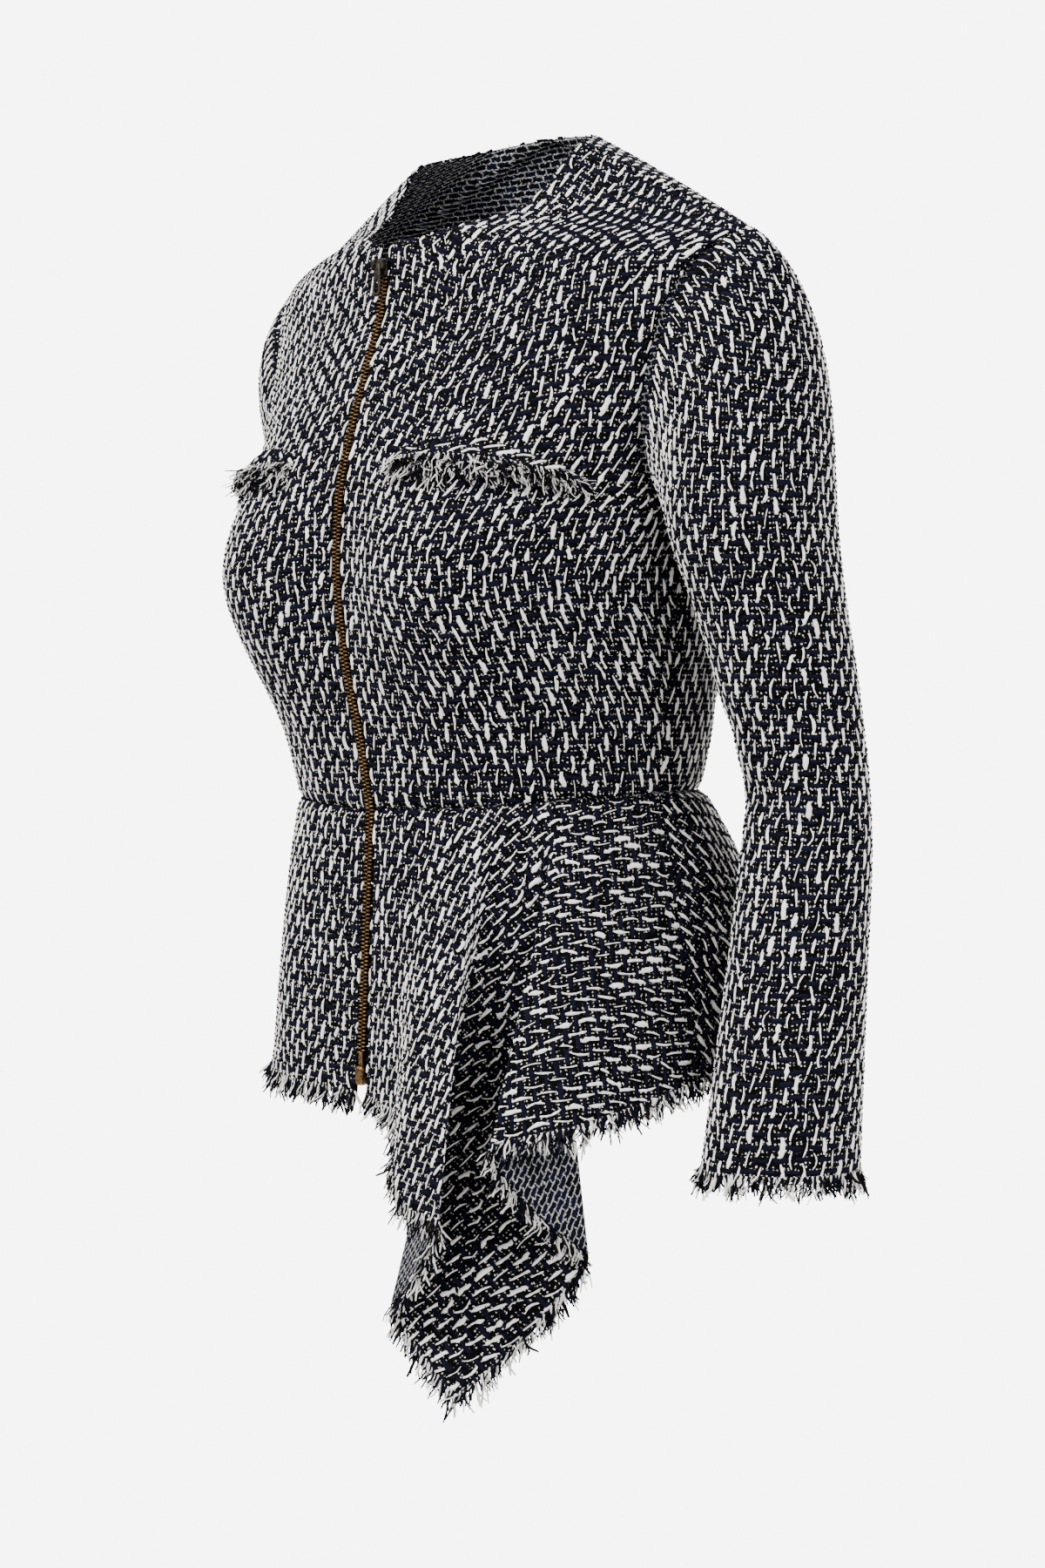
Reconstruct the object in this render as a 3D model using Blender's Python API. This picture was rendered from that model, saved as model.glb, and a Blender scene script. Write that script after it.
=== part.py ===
"""Collarless woven jacket with an exposed front zip and a draped peplum, as thin closed cloth walls.

Metres, +Z up. The jacket faces -Y and its left side is +X. The origin lies between the shoulders,
at the level where the shoulder seams carry the jacket.
"""
from collections import namedtuple

import bmesh
import bpy
import numpy as np

# Cloth and seams
WALL = 0.0025
DRAPE_WALL = 0.0016
SEAM = 0.0003
HALF_SEAM = SEAM / 2
WELD = 1e-6

# Bust shaping of the fronts, taken up by the darts
BUST_DEPTH = 0.029
BUST_Z = -0.245
BUST_REACH = 0.062
BUST_SKEW = 0.8

# Zip at the centre front; places out from the front's face are negative, as -Y is
ZIP_HALF_GAP = 0.0036
TAPE_MARGIN = 0.0075
TAPE_THICK = 0.0008
TAPE_SEAT = 0.0009
CHAIN_HALF = 0.0030
CHAIN_PROUD = 0.0012
SLIDER_TOP = -0.0620
SLIDER_LENGTH = 0.0100
SLIDER_HALF = 0.0030
SLIDER_BACK = 0.0020
SLIDER_FACE = -0.0006
SLIDER_WEB = -0.0029
CHEEK_FRONT = -0.0054
CHEEK_IN = 0.0028
CHEEK_OUT = 0.0048
PULL_DROP = 0.0026
PULL_LENGTH = 0.0190
PULL_OUT = 0.0047
PULL_RADIUS = 0.0012
PULL_HALF_THICK = 0.0006
PULL_HALF_WIDTH = 0.0021
PULL_END_HALF = 0.0031
BOX_TOP = -0.5215
BOX_LENGTH = 0.0110
BOX_PROUD = 0.0016
TAPE_TOP_SHARE = 0.02
TAPE_END_SHARE = 0.97

# Fringe
FRAY_GAP = 0.0006
STRIP_HEIGHT = 0.0020
STRAND_LENGTH = 0.0120
STRAND_SWAY = 0.3
STRAND_TIP = 0.35
STRAND_SHORTEST = 0.75
STRAND_LONGEST = 1.15

# Grid sizes of the walls, as cells across and along
FRONT_COLUMNS = 12
BACK_HALF_COLUMNS = 10
BODY_ROWS = 12
YOKE_ROWS = 5
SLEEVE_ROUND = 20
CAP_ROWS = 5
ARM_ROWS = 9
BICEPS_ROW = CAP_ROWS
ELBOW_ROW = CAP_ROWS + 4
LEFT_PEPLUM_CELLS = (44, 8)
RIGHT_PEPLUM_CELLS = (9, 5)
BACK_PEPLUM_CELLS = (18, 5)
POCKET_CELLS = (12, 4)
TAPE_HEM_ROWS = 5
CHAIN_ROWS = 19
BOX_ROWS = 3
PULL_HEAD_POINTS = 7
ARC_SAMPLES = 121
HEM_SAMPLES = 301

# Each bodice row runs from edge a (centre, then neckline) to edge b (side seam, then armhole)
BodiceRow = namedtuple("BodiceRow", "za xa ya zb xb yb power")
UNDERARM_ROW = 4
FRONT_NECK_ROW = 8
BACK_NECK_ROW = 9
FRONT = (
    BodiceRow(-0.3765, ZIP_HALF_GAP, -0.1022, -0.3655, 0.128, 0.0040, 2.15),
    BodiceRow(-0.3360, ZIP_HALF_GAP, -0.1100, -0.3280, 0.132, 0.0040, 2.20),
    BodiceRow(-0.2870, ZIP_HALF_GAP, -0.1222, -0.2830, 0.139, 0.0040, 2.25),
    BodiceRow(-0.2380, ZIP_HALF_GAP, -0.1279, -0.2430, 0.145, 0.0040, 2.25),
    BodiceRow(-0.2000, ZIP_HALF_GAP, -0.1260, -0.2080, 0.148, 0.0040, 2.20),
    BodiceRow(-0.1650, ZIP_HALF_GAP, -0.1183, -0.1900, 0.146, -0.0245, 2.00),
    BodiceRow(-0.1250, ZIP_HALF_GAP, -0.1055, -0.1500, 0.150, -0.0340, 1.80),
    BodiceRow(-0.0850, ZIP_HALF_GAP, -0.0930, -0.1040, 0.158, -0.0290, 1.55),
    BodiceRow(-0.0550, ZIP_HALF_GAP, -0.0900, -0.0760, 0.168, -0.0190, 1.35),
    BodiceRow(-0.0470, 0.030, -0.0770, -0.0610, 0.175, -0.0060, 1.20),
    BodiceRow(-0.0315, 0.058, -0.0380, -0.0520, 0.180, 0.0080, 1.10),
    BodiceRow(0.0080, 0.070, -0.0010, -0.0480, 0.182, 0.0180, 1.02),
)
BACK = (
    BodiceRow(-0.3640, 0.000, 0.0970, -0.3655, 0.128, 0.0040, 2.15),
    BodiceRow(-0.3280, 0.000, 0.1085, -0.3280, 0.132, 0.0040, 2.20),
    BodiceRow(-0.2830, 0.000, 0.1180, -0.2830, 0.139, 0.0040, 2.25),
    BodiceRow(-0.2400, 0.000, 0.1225, -0.2430, 0.145, 0.0040, 2.25),
    BodiceRow(-0.2000, 0.000, 0.1240, -0.2080, 0.148, 0.0040, 2.20),
    BodiceRow(-0.1600, 0.000, 0.1220, -0.1850, 0.149, 0.0360, 2.00),
    BodiceRow(-0.1150, 0.000, 0.1140, -0.1450, 0.157, 0.0530, 1.80),
    BodiceRow(-0.0650, 0.000, 0.0980, -0.1040, 0.165, 0.0550, 1.55),
    BodiceRow(-0.0200, 0.000, 0.0720, -0.0760, 0.173, 0.0460, 1.35),
    BodiceRow(0.0210, 0.000, 0.0470, -0.0610, 0.178, 0.0360, 1.20),
    BodiceRow(0.0170, 0.045, 0.0340, -0.0530, 0.181, 0.0270, 1.10),
    BodiceRow(0.0080, 0.070, -0.0010, -0.0480, 0.182, 0.0180, 1.02),
)
CORE_TOP = -0.12
MEAN_ROW = 0.20
MEAN_PANEL = 0.40
MEAN_HEM = 0.60

# Sleeve rings from the biceps to the cuff: centre and half widths across (x) and front to back (y)
SleeveRing = namedtuple("SleeveRing", "x y z half_x half_y")
LEFT_ARM = (
    SleeveRing(0.1960, 0.0100, -0.235, 0.0440, 0.0475),
    SleeveRing(0.2020, 0.0140, -0.265, 0.0425, 0.0415),
    SleeveRing(0.2100, 0.0200, -0.310, 0.0400, 0.0370),
    SleeveRing(0.2180, 0.0266, -0.373, 0.0370, 0.0305),
    SleeveRing(0.2190, 0.0226, -0.406, 0.0375, 0.0355),
    SleeveRing(0.2215, 0.0141, -0.454, 0.0385, 0.0375),
    SleeveRing(0.2235, 0.0056, -0.502, 0.0400, 0.0405),
    SleeveRing(0.2260, -0.0057, -0.569, 0.0420, 0.0447),
)
RIGHT_ARM = (
    SleeveRing(0.1860, 0.0660, -0.230, 0.0430, 0.0460),
    SleeveRing(0.1890, 0.0780, -0.262, 0.0420, 0.0410),
    SleeveRing(0.1940, 0.0940, -0.305, 0.0400, 0.0370),
    SleeveRing(0.2000, 0.1100, -0.360, 0.0370, 0.0320),
    SleeveRing(0.2020, 0.1060, -0.395, 0.0375, 0.0355),
    SleeveRing(0.2040, 0.1000, -0.438, 0.0385, 0.0375),
    SleeveRing(0.2060, 0.0930, -0.480, 0.0400, 0.0405),
    SleeveRing(0.2080, 0.0830, -0.530, 0.0420, 0.0447),
)
ARMHOLE_GAP = 0.0007
CAP_OUT = 0.8
CAP_SIDE = 0.35
CAP_FALL = 0.5
CAP_LEAVE = 1.0
CAP_ARRIVE = 0.9

# Each peplum row is one line of the cloth from the waist to the hem: its place round the waist,
# its lean to the side and to the back for each metre of length, its length and its outward bulge
PeplumRow = namedtuple("PeplumRow", "share lean_x lean_y length bulge")
LEFT_PEPLUM = (
    PeplumRow(0.000, 0.007, -0.048, 0.1621, 0.0),
    PeplumRow(0.150, 0.085, -0.135, 0.1714, 0.0),
    PeplumRow(0.247, 0.101, -0.254, 0.2089, 0.0),
    PeplumRow(0.320, 0.147, -0.293, 0.2294, 0.0),
    PeplumRow(0.390, 0.221, -0.324, 0.2372, 0.0),
    PeplumRow(0.484, -0.144, -0.182, 0.2866, 0.0),
    PeplumRow(0.551, -0.012, -0.164, 0.3292, 0.0),
    PeplumRow(0.596, 0.184, -0.033, 0.2504, 0.0),
    PeplumRow(0.639, 0.134, -0.419, 0.2032, 0.0),
    PeplumRow(0.766, 0.231, -0.366, 0.1953, 0.0),
    PeplumRow(0.886, 0.245, -0.245, 0.1800, 0.0),
    PeplumRow(1.000, 0.266, -0.090, 0.1657, 0.0),
)
RIGHT_PEPLUM = (
    PeplumRow(0.000, 0.000, -0.048, 0.1621, 0.0),
    PeplumRow(0.350, 0.045, -0.080, 0.1620, 0.002),
    PeplumRow(0.700, 0.115, -0.060, 0.1620, 0.004),
    PeplumRow(1.000, 0.150, 0.010, 0.1620, 0.004),
)
BACK_PEPLUM = (
    PeplumRow(1.000, 0.266, -0.090, 0.1657, 0.0),
    PeplumRow(0.880, 0.290, 0.010, 0.1660, 0.008),
    PeplumRow(0.650, 0.270, 0.200, 0.1670, 0.011),
    PeplumRow(0.350, 0.150, 0.330, 0.1690, 0.011),
    PeplumRow(0.000, 0.000, 0.360, 0.1700, 0.010),
    PeplumRow(-0.350, -0.110, 0.300, 0.1680, 0.010),
    PeplumRow(-0.650, -0.180, 0.170, 0.1650, 0.008),
    PeplumRow(-0.880, -0.170, 0.060, 0.1630, 0.005),
    PeplumRow(-1.000, -0.150, 0.010, 0.1620, 0.004),
)
FOLD_ROUND = 0.0080
FOLD_ROUND_MOST = 0.070
BULGE_SKEW = 0.7

# Chest pocket welts, on the fronts
POCKET_FROM = 0.19
POCKET_TO = 0.74
POCKET_ROW_Z = -0.182
POCKET_END_HEIGHT = 0.012
POCKET_MID_HEIGHT = 0.025
POCKET_RIM = 0.0020
POCKET_PUFF = 0.0045
POCKET_FRAY_LEAN = 0.0010
POCKET_SEAT = 0.0007

# Strands to each cell of a hem's grid
LEFT_HEM_STRANDS = 2
RIGHT_HEM_STRANDS = 3
BACK_HEM_STRANDS = 3
CUFF_STRANDS = 1
POCKET_STRANDS = 1

Finish = namedtuple("Finish", "name colour roughness metallic")
TWEED = Finish("tweed", (0.16, 0.16, 0.18), 0.9, 0.0)
FRAY = Finish("frayed_yarn", (0.45, 0.44, 0.44), 0.9, 0.0)
TAPE = Finish("zip_tape", (0.01, 0.01, 0.012), 0.85, 0.0)
BRASS = Finish("antique_brass", (0.32, 0.20, 0.09), 0.35, 1.0)
BRONZE = Finish("dark_bronze", (0.09, 0.07, 0.06), 0.4, 1.0)


def table_slopes(knots, values):
    """Slope of each column at each row, kept low enough that no curve swings past its rows."""
    steps = np.diff(knots)[:, None]
    rates = np.diff(values, axis=0) / steps
    before, after = rates[:-1], rates[1:]
    near = 2 * steps[1:] + steps[:-1]
    far = steps[1:] + 2 * steps[:-1]
    rising = before * after > 0
    safe_before = np.where(rising, before, 1.0)
    safe_after = np.where(rising, after, 1.0)
    middle = np.where(rising, (near + far) / (near / safe_before + far / safe_after), 0.0)
    return np.concatenate((rates[:1], middle, rates[-1:]))


def smooth_table(knots, values, at):
    """Read a table between its rows with a cubic that passes through every row."""
    knots = np.asarray(knots, float)
    values = np.asarray(values, float)
    slopes = table_slopes(knots, values)
    row = np.clip(np.searchsorted(knots, at, side="right") - 1, 0, len(knots) - 2)
    span = (knots[row + 1] - knots[row])[:, None]
    t = (at - knots[row])[:, None] / span
    start = (1 + 2 * t) * (1 - t) ** 2 * values[row] + t * (1 - t) ** 2 * span * slopes[row]
    end = t * t * (3 - 2 * t) * values[row + 1] - t * t * (1 - t) * span * slopes[row + 1]
    return start + end


def unit(vectors):
    """Scale each vector to length one."""
    return vectors / np.linalg.norm(vectors, axis=-1, keepdims=True)


def run_lengths(points):
    """Distance from the start of each polyline to each of its points, along the next-to-last axis."""
    steps = np.linalg.norm(np.diff(points, axis=-2), axis=-1)
    start = np.zeros(steps.shape[:-1] + (1,))
    return np.concatenate((start, np.cumsum(steps, axis=-1)), axis=-1)


def row_places(rows):
    """Place of each bodice row from 0 at the waist to 1 at the shoulder, by the mean edge length."""
    table = np.array(rows, float)
    along = (run_lengths(table[:, (1, 2, 0)]) + run_lengths(table[:, (4, 5, 3)])) / 2
    return along / along[-1]


def bodice_points(rows, u, v, bust=0.0):
    """Points of a bodice half, u by length from edge a to edge b and v from waist to shoulder.

    A row is a superellipse arc, straight where its power is one, and the bust swells the rows out.
    """
    read = smooth_table(row_places(rows), np.array(rows, float), np.asarray(v, float))
    za, xa, ya, zb, xb, yb, power = (column[:, None] for column in read.T)
    angle = np.linspace(0.0, np.pi / 2, ARC_SAMPLES)[None, :]
    across = np.sin(angle) ** (2 / power)
    depth = np.clip(np.cos(angle), 0.0, 1.0) ** (2 / power)
    lift = (across + 1 - depth) / 2
    points = np.stack((xa + (xb - xa) * across, yb + (ya - yb) * depth, za + (zb - za) * lift), axis=-1)
    lengths = run_lengths(points)
    share = lengths / lengths[:, -1:]
    height = np.exp(-((points[..., 2] - BUST_Z) / BUST_REACH) ** 2)
    points[..., 1] -= bust * np.sin(np.pi * share ** BUST_SKEW) ** 2 * height
    lengths = run_lengths(points)
    rows_out = []
    for line, length in zip(points, lengths):
        wanted = np.asarray(u) * length[-1]
        rows_out.append(np.column_stack([np.interp(wanted, length, line[:, axis]) for axis in range(3)]))
    return np.array(rows_out)


def inward(points):
    """Direction from the bodice into its hollow: level below the chest, down and in at the shoulders."""
    core = np.zeros_like(points)
    core[..., 2] = np.minimum(points[..., 2], CORE_TOP)
    return unit(core - points)


def mirrored(points):
    """The same points on the other side of the body."""
    return points * np.array((-1.0, 1.0, 1.0))


def finish_material(finish):
    """Material for a finish, made once."""
    material = bpy.data.materials.get(finish.name)
    if material is None:
        material = bpy.data.materials.new(finish.name)
        material.use_nodes = True
        shader = material.node_tree.nodes["Principled BSDF"]
        shader.inputs["Base Color"].default_value = (*finish.colour, 1.0)
        shader.inputs["Roughness"].default_value = finish.roughness
        shader.inputs["Metallic"].default_value = finish.metallic
    return material


def add_solid(name, vertices, faces, finish):
    """Put a closed mesh in the scene with its faces pointing out."""
    mesh = bpy.data.meshes.new(name)
    mesh.from_pydata([tuple(map(float, vertex)) for vertex in vertices], [], faces)
    work = bmesh.new()
    work.from_mesh(mesh)
    bmesh.ops.remove_doubles(work, verts=work.verts, dist=WELD)
    bmesh.ops.recalc_face_normals(work, faces=work.faces)
    work.to_mesh(mesh)
    work.free()
    mesh.materials.append(finish_material(finish))
    mesh.shade_smooth()
    part = bpy.data.objects.new(name, mesh)
    bpy.context.scene.collection.objects.link(part)
    return part


def grid_faces(rows, columns, start, wrap):
    """Quads of a grid of points numbered row by row, closed round its columns when wrapped."""
    faces = []
    for row in range(rows - 1):
        for column in range(columns if wrap else columns - 1):
            after = (column + 1) % columns
            low = start + row * columns
            high = low + columns
            faces.append((low + column, low + after, high + after, high + column))
    return faces


def wall_faces(rows, columns, wrap=False, first_closed_row=0):
    """Faces of a wall: two grids, the strips that close its ends, and those along its sides.

    The first column is left open below the first closed row, for a wall that is joined there.
    """
    count = rows * columns
    faces = grid_faces(rows, columns, 0, wrap)
    faces += [tuple(reversed(face)) for face in grid_faces(rows, columns, count, wrap)]
    last = (rows - 1) * columns
    for column in range(columns if wrap else columns - 1):
        after = (column + 1) % columns
        faces.append((after, column, count + column, count + after))
        faces.append((last + column, last + after, count + last + after, count + last + column))
    for row in range(0 if wrap else rows - 1):
        low = row * columns
        high = low + columns
        end = columns - 1
        faces.append((high + end, low + end, count + low + end, count + high + end))
        if row >= first_closed_row:
            faces.append((low, high, count + high, count + low))
    return faces


def add_wall(name, outer, inner, finish, wrap=False):
    """Closed wall between an outer and an inner grid of points."""
    vertices = np.concatenate((outer.reshape(-1, 3), inner.reshape(-1, 3)))
    return add_solid(name, vertices, wall_faces(*outer.shape[:2], wrap), finish)


def add_mirrored_wall(name, outer, inner, split_row, finish):
    """Wall of two mirrored halves, in one piece up to the split row and parted above it."""
    half = np.concatenate((outer.reshape(-1, 3), inner.reshape(-1, 3)))
    faces = wall_faces(*outer.shape[:2], first_closed_row=split_row)
    other = [tuple(index + len(half) for index in reversed(face)) for face in faces]
    return add_solid(name, np.concatenate((half, mirrored(half))), faces + other, finish)


def bodice_rows(rows, neck_row):
    """Places of a bodice panel's rows, one at its neck and the last half a seam short of the shoulder."""
    neck = row_places(rows)[neck_row]
    body = np.linspace(0.0, neck, BODY_ROWS + 1)
    yoke = np.linspace(neck, 1 - HALF_SEAM / MEAN_PANEL, YOKE_ROWS + 1)
    return np.concatenate((body, yoke[1:]))


def bodice_grid(rows, neck_row, columns, bust):
    """Outer points of one bodice half, drawn in by half a seam at its side and shoulder."""
    u = np.linspace(0.0, 1 - HALF_SEAM / MEAN_ROW, columns + 1)
    return bodice_points(rows, u, bodice_rows(rows, neck_row), bust)


def build_bodice():
    """Two fronts and the back."""
    left = bodice_grid(FRONT, FRONT_NECK_ROW, FRONT_COLUMNS, BUST_DEPTH)
    add_wall("front_left", left, left + WALL * inward(left), TWEED)
    right = mirrored(left)
    add_wall("front_right", right, right + WALL * inward(right), TWEED)
    half = bodice_grid(BACK, BACK_NECK_ROW, BACK_HALF_COLUMNS, 0.0)
    add_mirrored_wall("back", half, half + WALL * inward(half), BODY_ROWS, TWEED)


def armhole(share):
    """Point of the left armhole: 0 at the underarm, up the front to 0.5 at the shoulder, down the back."""
    share = np.asarray(share, float)
    front_from = row_places(FRONT)[UNDERARM_ROW]
    back_from = row_places(BACK)[UNDERARM_ROW]
    up = np.clip(share * 2, 0.0, 1.0)
    down = np.clip(2 - share * 2, 0.0, 1.0)
    front = bodice_points(FRONT, [1.0], front_from + (1 - front_from) * up)[:, 0]
    back = bodice_points(BACK, [1.0], back_from + (1 - back_from) * down)[:, 0]
    return np.where((share <= 0.5)[:, None], front, back)


def sleeve_rings(arm):
    """Outer points of a left-hand sleeve: a cap that leaves the armhole, then rings down the arm."""
    share = np.arange(SLEEVE_ROUND) / SLEEVE_ROUND
    turn = share * 2 * np.pi
    loop = armhole(share)
    loop = loop - ARMHOLE_GAP * inward(loop)
    table = np.array(arm, float)
    down = np.linspace(0.0, 1.0, ARM_ROWS + 1)
    knots = run_lengths(table[:, :3])
    read = smooth_table(knots / knots[-1], table, down)
    around = np.stack((-np.cos(turn), -np.sin(turn), np.zeros_like(turn)), axis=-1)
    half = np.concatenate((read[:, 3:5], np.zeros((len(read), 1))), axis=1)
    rings = read[:, None, :3] + around[None] * half[:, None, :]
    leave = unit(np.stack((
        np.full_like(turn, CAP_OUT),
        -CAP_SIDE * np.sin(turn),
        -CAP_FALL - CAP_FALL * np.cos(turn / 2) ** 2,
    ), axis=-1))
    arrive = unit(rings[1] - rings[0])
    reach = np.linalg.norm(rings[0] - loop, axis=-1, keepdims=True)
    t = (np.arange(CAP_ROWS) / CAP_ROWS)[:, None, None]
    cap = (1 + 2 * t) * (1 - t) ** 2 * loop + t * (1 - t) ** 2 * CAP_LEAVE * reach * leave
    cap = cap + t * t * (3 - 2 * t) * rings[0] - t * t * (1 - t) * CAP_ARRIVE * reach * arrive
    return np.concatenate((cap, rings))


def ring_inner(rings):
    """Inner points of a sleeve, drawn in towards the middle of each ring."""
    centre = rings.mean(axis=1, keepdims=True)
    return rings + WALL * unit(centre - rings)


def parted(rings):
    """Rings of a sleeve's cap, upper arm and forearm, each length a seam's gap below the one above it."""
    lengths = [rings[:BICEPS_ROW + 1]]
    for first, last in ((BICEPS_ROW, ELBOW_ROW), (ELBOW_ROW, len(rings) - 1)):
        below = rings[first:last + 1].copy()
        below[0] += SEAM * unit(below[1] - below[0])
        lengths.append(below)
    return lengths


def build_sleeves():
    """Two sleeves, each a cap, an upper arm and a forearm, and their frayed cuffs."""
    for side, arm, place in (("left", LEFT_ARM, np.array), ("right", RIGHT_ARM, mirrored)):
        rings = place(sleeve_rings(arm))
        inner = place(ring_inner(sleeve_rings(arm)))
        for length, outside, inside in zip(("cap", "upper", "lower"), parted(rings), parted(inner)):
            add_wall(f"sleeve_{side}_{length}", outside, inside, TWEED, wrap=True)
        build_fringe(f"fringe_cuff_{side}", rings[-2:], inner[-2:], CUFF_STRANDS, True)


def soften(values, spacing, width):
    """Gaussian average of evenly spaced rows that leaves the first and last row in place."""
    reach = min(len(values) - 1, int(3 * width / spacing) + 1)
    offsets = np.arange(-reach, reach + 1) * spacing
    weights = np.exp(-0.5 * (offsets / width) ** 2)
    weights /= weights.sum()
    before = 2 * values[0] - values[reach:0:-1]
    after = 2 * values[-1] - values[-2:-2 - reach:-1]
    padded = np.concatenate((before, values, after))
    return np.column_stack([np.convolve(column, weights, mode="valid") for column in padded.T])


def waist_points(share, rows, bust):
    """Waist seam points, by share of the waist from the centre (0) to the side seam (1 or -1)."""
    share = np.asarray(share, float)
    line = bodice_points(rows, np.abs(share), [0.0], bust)[0]
    line[:, 0] *= np.where(share < 0, -1.0, 1.0)
    line[:, 2] -= SEAM
    return line


def peplum_points(rows, across, down, body_rows, bust):
    """Points of a peplum panel from the waist to the hem, its folds opening out on the way down."""
    table = np.array(rows, float)
    roots = waist_points(table[:, 0], body_rows, bust)
    lean = table[:, 1:3]
    fall = -np.sqrt(1 - (lean ** 2).sum(axis=1, keepdims=True))
    ends = roots + table[:, 3:4] * np.concatenate((lean, fall), axis=1)
    knots = run_lengths(ends)
    fine = np.linspace(0.0, knots[-1], HEM_SAMPLES)
    spacing = fine[1]
    read = np.column_stack([np.interp(fine, knots, column) for column in table.T])
    fine_roots = waist_points(read[:, 0], body_rows, bust)
    outward = unit(fine_roots * np.array((1.0, 1.0, 0.0)))
    grid = []
    for step in down:
        rounding = FOLD_ROUND / max(step, FOLD_ROUND / FOLD_ROUND_MOST)
        lean = soften(read[:, 1:3], spacing, rounding)
        fall = -np.sqrt(1 - (lean ** 2).sum(axis=1, keepdims=True))
        line = fine_roots + step * read[:, 3:4] * np.concatenate((lean, fall), axis=1)
        line = line + read[:, 4:5] * np.sin(np.pi * step ** BULGE_SKEW) * outward
        wanted = np.asarray(across) * fine[-1]
        grid.append(np.column_stack([np.interp(wanted, fine, line[:, axis]) for axis in range(3)]))
    return np.array(grid)


def grid_normals(points):
    """Unit normals of an open grid, to the left of its rows as they run down."""
    along = np.gradient(points, axis=0)
    across = np.gradient(points, axis=1)
    return unit(np.cross(along, across))


def level_inward(points):
    """Level direction towards the body's middle."""
    return unit(points * np.array((-1.0, -1.0, 0.0)))


def build_peplum():
    """Three peplum panels and their frayed hems."""
    cells = LEFT_PEPLUM_CELLS
    seam_share = HALF_SEAM / MEAN_HEM
    across = np.linspace(0.0, 1 - 2 * seam_share, cells[0] + 1)
    down = np.linspace(0.0, 1.0, cells[1] + 1)
    left = peplum_points(LEFT_PEPLUM, across, down, FRONT, BUST_DEPTH)
    left_inner = left - DRAPE_WALL * grid_normals(left)
    add_wall("peplum_front_left", left, left_inner, TWEED)
    build_fringe("fringe_hem_left", left[-2:], left_inner[-2:], LEFT_HEM_STRANDS, False)

    across = np.linspace(0.0, 1 - seam_share, RIGHT_PEPLUM_CELLS[0] + 1)
    down = np.linspace(0.0, 1.0, RIGHT_PEPLUM_CELLS[1] + 1)
    right = mirrored(peplum_points(RIGHT_PEPLUM, across, down, FRONT, BUST_DEPTH))
    right_inner = right + WALL * level_inward(right)
    add_wall("peplum_front_right", right, right_inner, TWEED)
    build_fringe("fringe_hem_right", right[-2:], right_inner[-2:], RIGHT_HEM_STRANDS, False)

    across = np.linspace(2 * seam_share, 1 - seam_share, BACK_PEPLUM_CELLS[0] + 1)
    down = np.linspace(0.0, 1.0, BACK_PEPLUM_CELLS[1] + 1)
    back = peplum_points(BACK_PEPLUM, across, down, BACK, 0.0)
    back_inner = back + WALL * level_inward(back)
    add_wall("peplum_back", back, back_inner, TWEED)
    build_fringe("fringe_hem_back", back[-2:], back_inner[-2:], BACK_HEM_STRANDS, False)


def subdivide(points, parts, wrap):
    """Points of a polyline with each of its segments cut into equal parts."""
    line = np.concatenate((points, points[:1])) if wrap else points
    places = np.arange((len(line) - 1) * parts + (0 if wrap else 1)) / parts
    return np.column_stack([np.interp(places, np.arange(len(line)), line[:, axis]) for axis in range(3)])


def build_fringe(name, outer, inner, parts, wrap):
    """Frayed edge: a narrow strip parted from the cloth's edge, with one tapering strand to a cell.

    The strip hangs on from the last row of the given points, each of its cells cut into a few parts.
    """
    edge_out = subdivide(outer[1], parts, wrap)
    edge_in = subdivide(inner[1], parts, wrap)
    fall = unit(edge_out - subdivide(outer[0], parts, wrap))
    count = len(edge_out)
    strands = count if wrap else count - 1
    rng = np.random.default_rng(strands)
    top_out = edge_out + FRAY_GAP * fall
    top_in = edge_in + FRAY_GAP * fall
    low_out = top_out + STRIP_HEIGHT * fall
    low_in = top_in + STRIP_HEIGHT * fall
    vertices = [*top_out, *top_in, *low_out, *low_in]
    faces = []
    for cell in range(strands):
        after = (cell + 1) % count
        faces.append((cell, after, count + after, count + cell))
        faces.append((cell, 2 * count + cell, 2 * count + after, after))
        faces.append((count + cell, count + after, 3 * count + after, 3 * count + cell))
        root = (2 * count + cell, 2 * count + after, 3 * count + after, 3 * count + cell)
        corners = np.array([vertices[index] for index in root])
        middle = corners.mean(axis=0)
        sway = rng.uniform(-1.0, 1.0) * STRAND_SWAY * (corners[1] - corners[0])
        length = STRAND_LENGTH * rng.uniform(STRAND_SHORTEST, STRAND_LONGEST)
        tip = middle + (corners - middle) * STRAND_TIP + length * fall[cell] + sway
        first = len(vertices)
        vertices.extend(tip)
        for side in range(4):
            beside = (side + 1) % 4
            faces.append((root[side], root[beside], first + beside, first + side))
        faces.append(tuple(range(first, first + 4)))
    if not wrap:
        faces.append((0, count, 3 * count, 2 * count))
        last = count - 1
        faces.append((last, 2 * count + last, 3 * count + last, count + last))
    add_solid(name, vertices, faces, FRAY)


def pocket_places():
    """Shares across the front for the pocket's columns, the row at its foot, and rows for each metre up."""
    share = np.linspace(0.0, 1.0, POCKET_CELLS[0] + 1)
    edge = np.array(FRONT, float)[:FRONT_NECK_ROW + 1, 0]
    places = row_places(FRONT)[:FRONT_NECK_ROW + 1]
    foot = np.interp(POCKET_ROW_Z, edge, places)
    per_metre = (places[-1] - places[0]) / (edge[-1] - edge[0])
    return POCKET_FROM + (POCKET_TO - POCKET_FROM) * share, foot, per_metre


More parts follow.
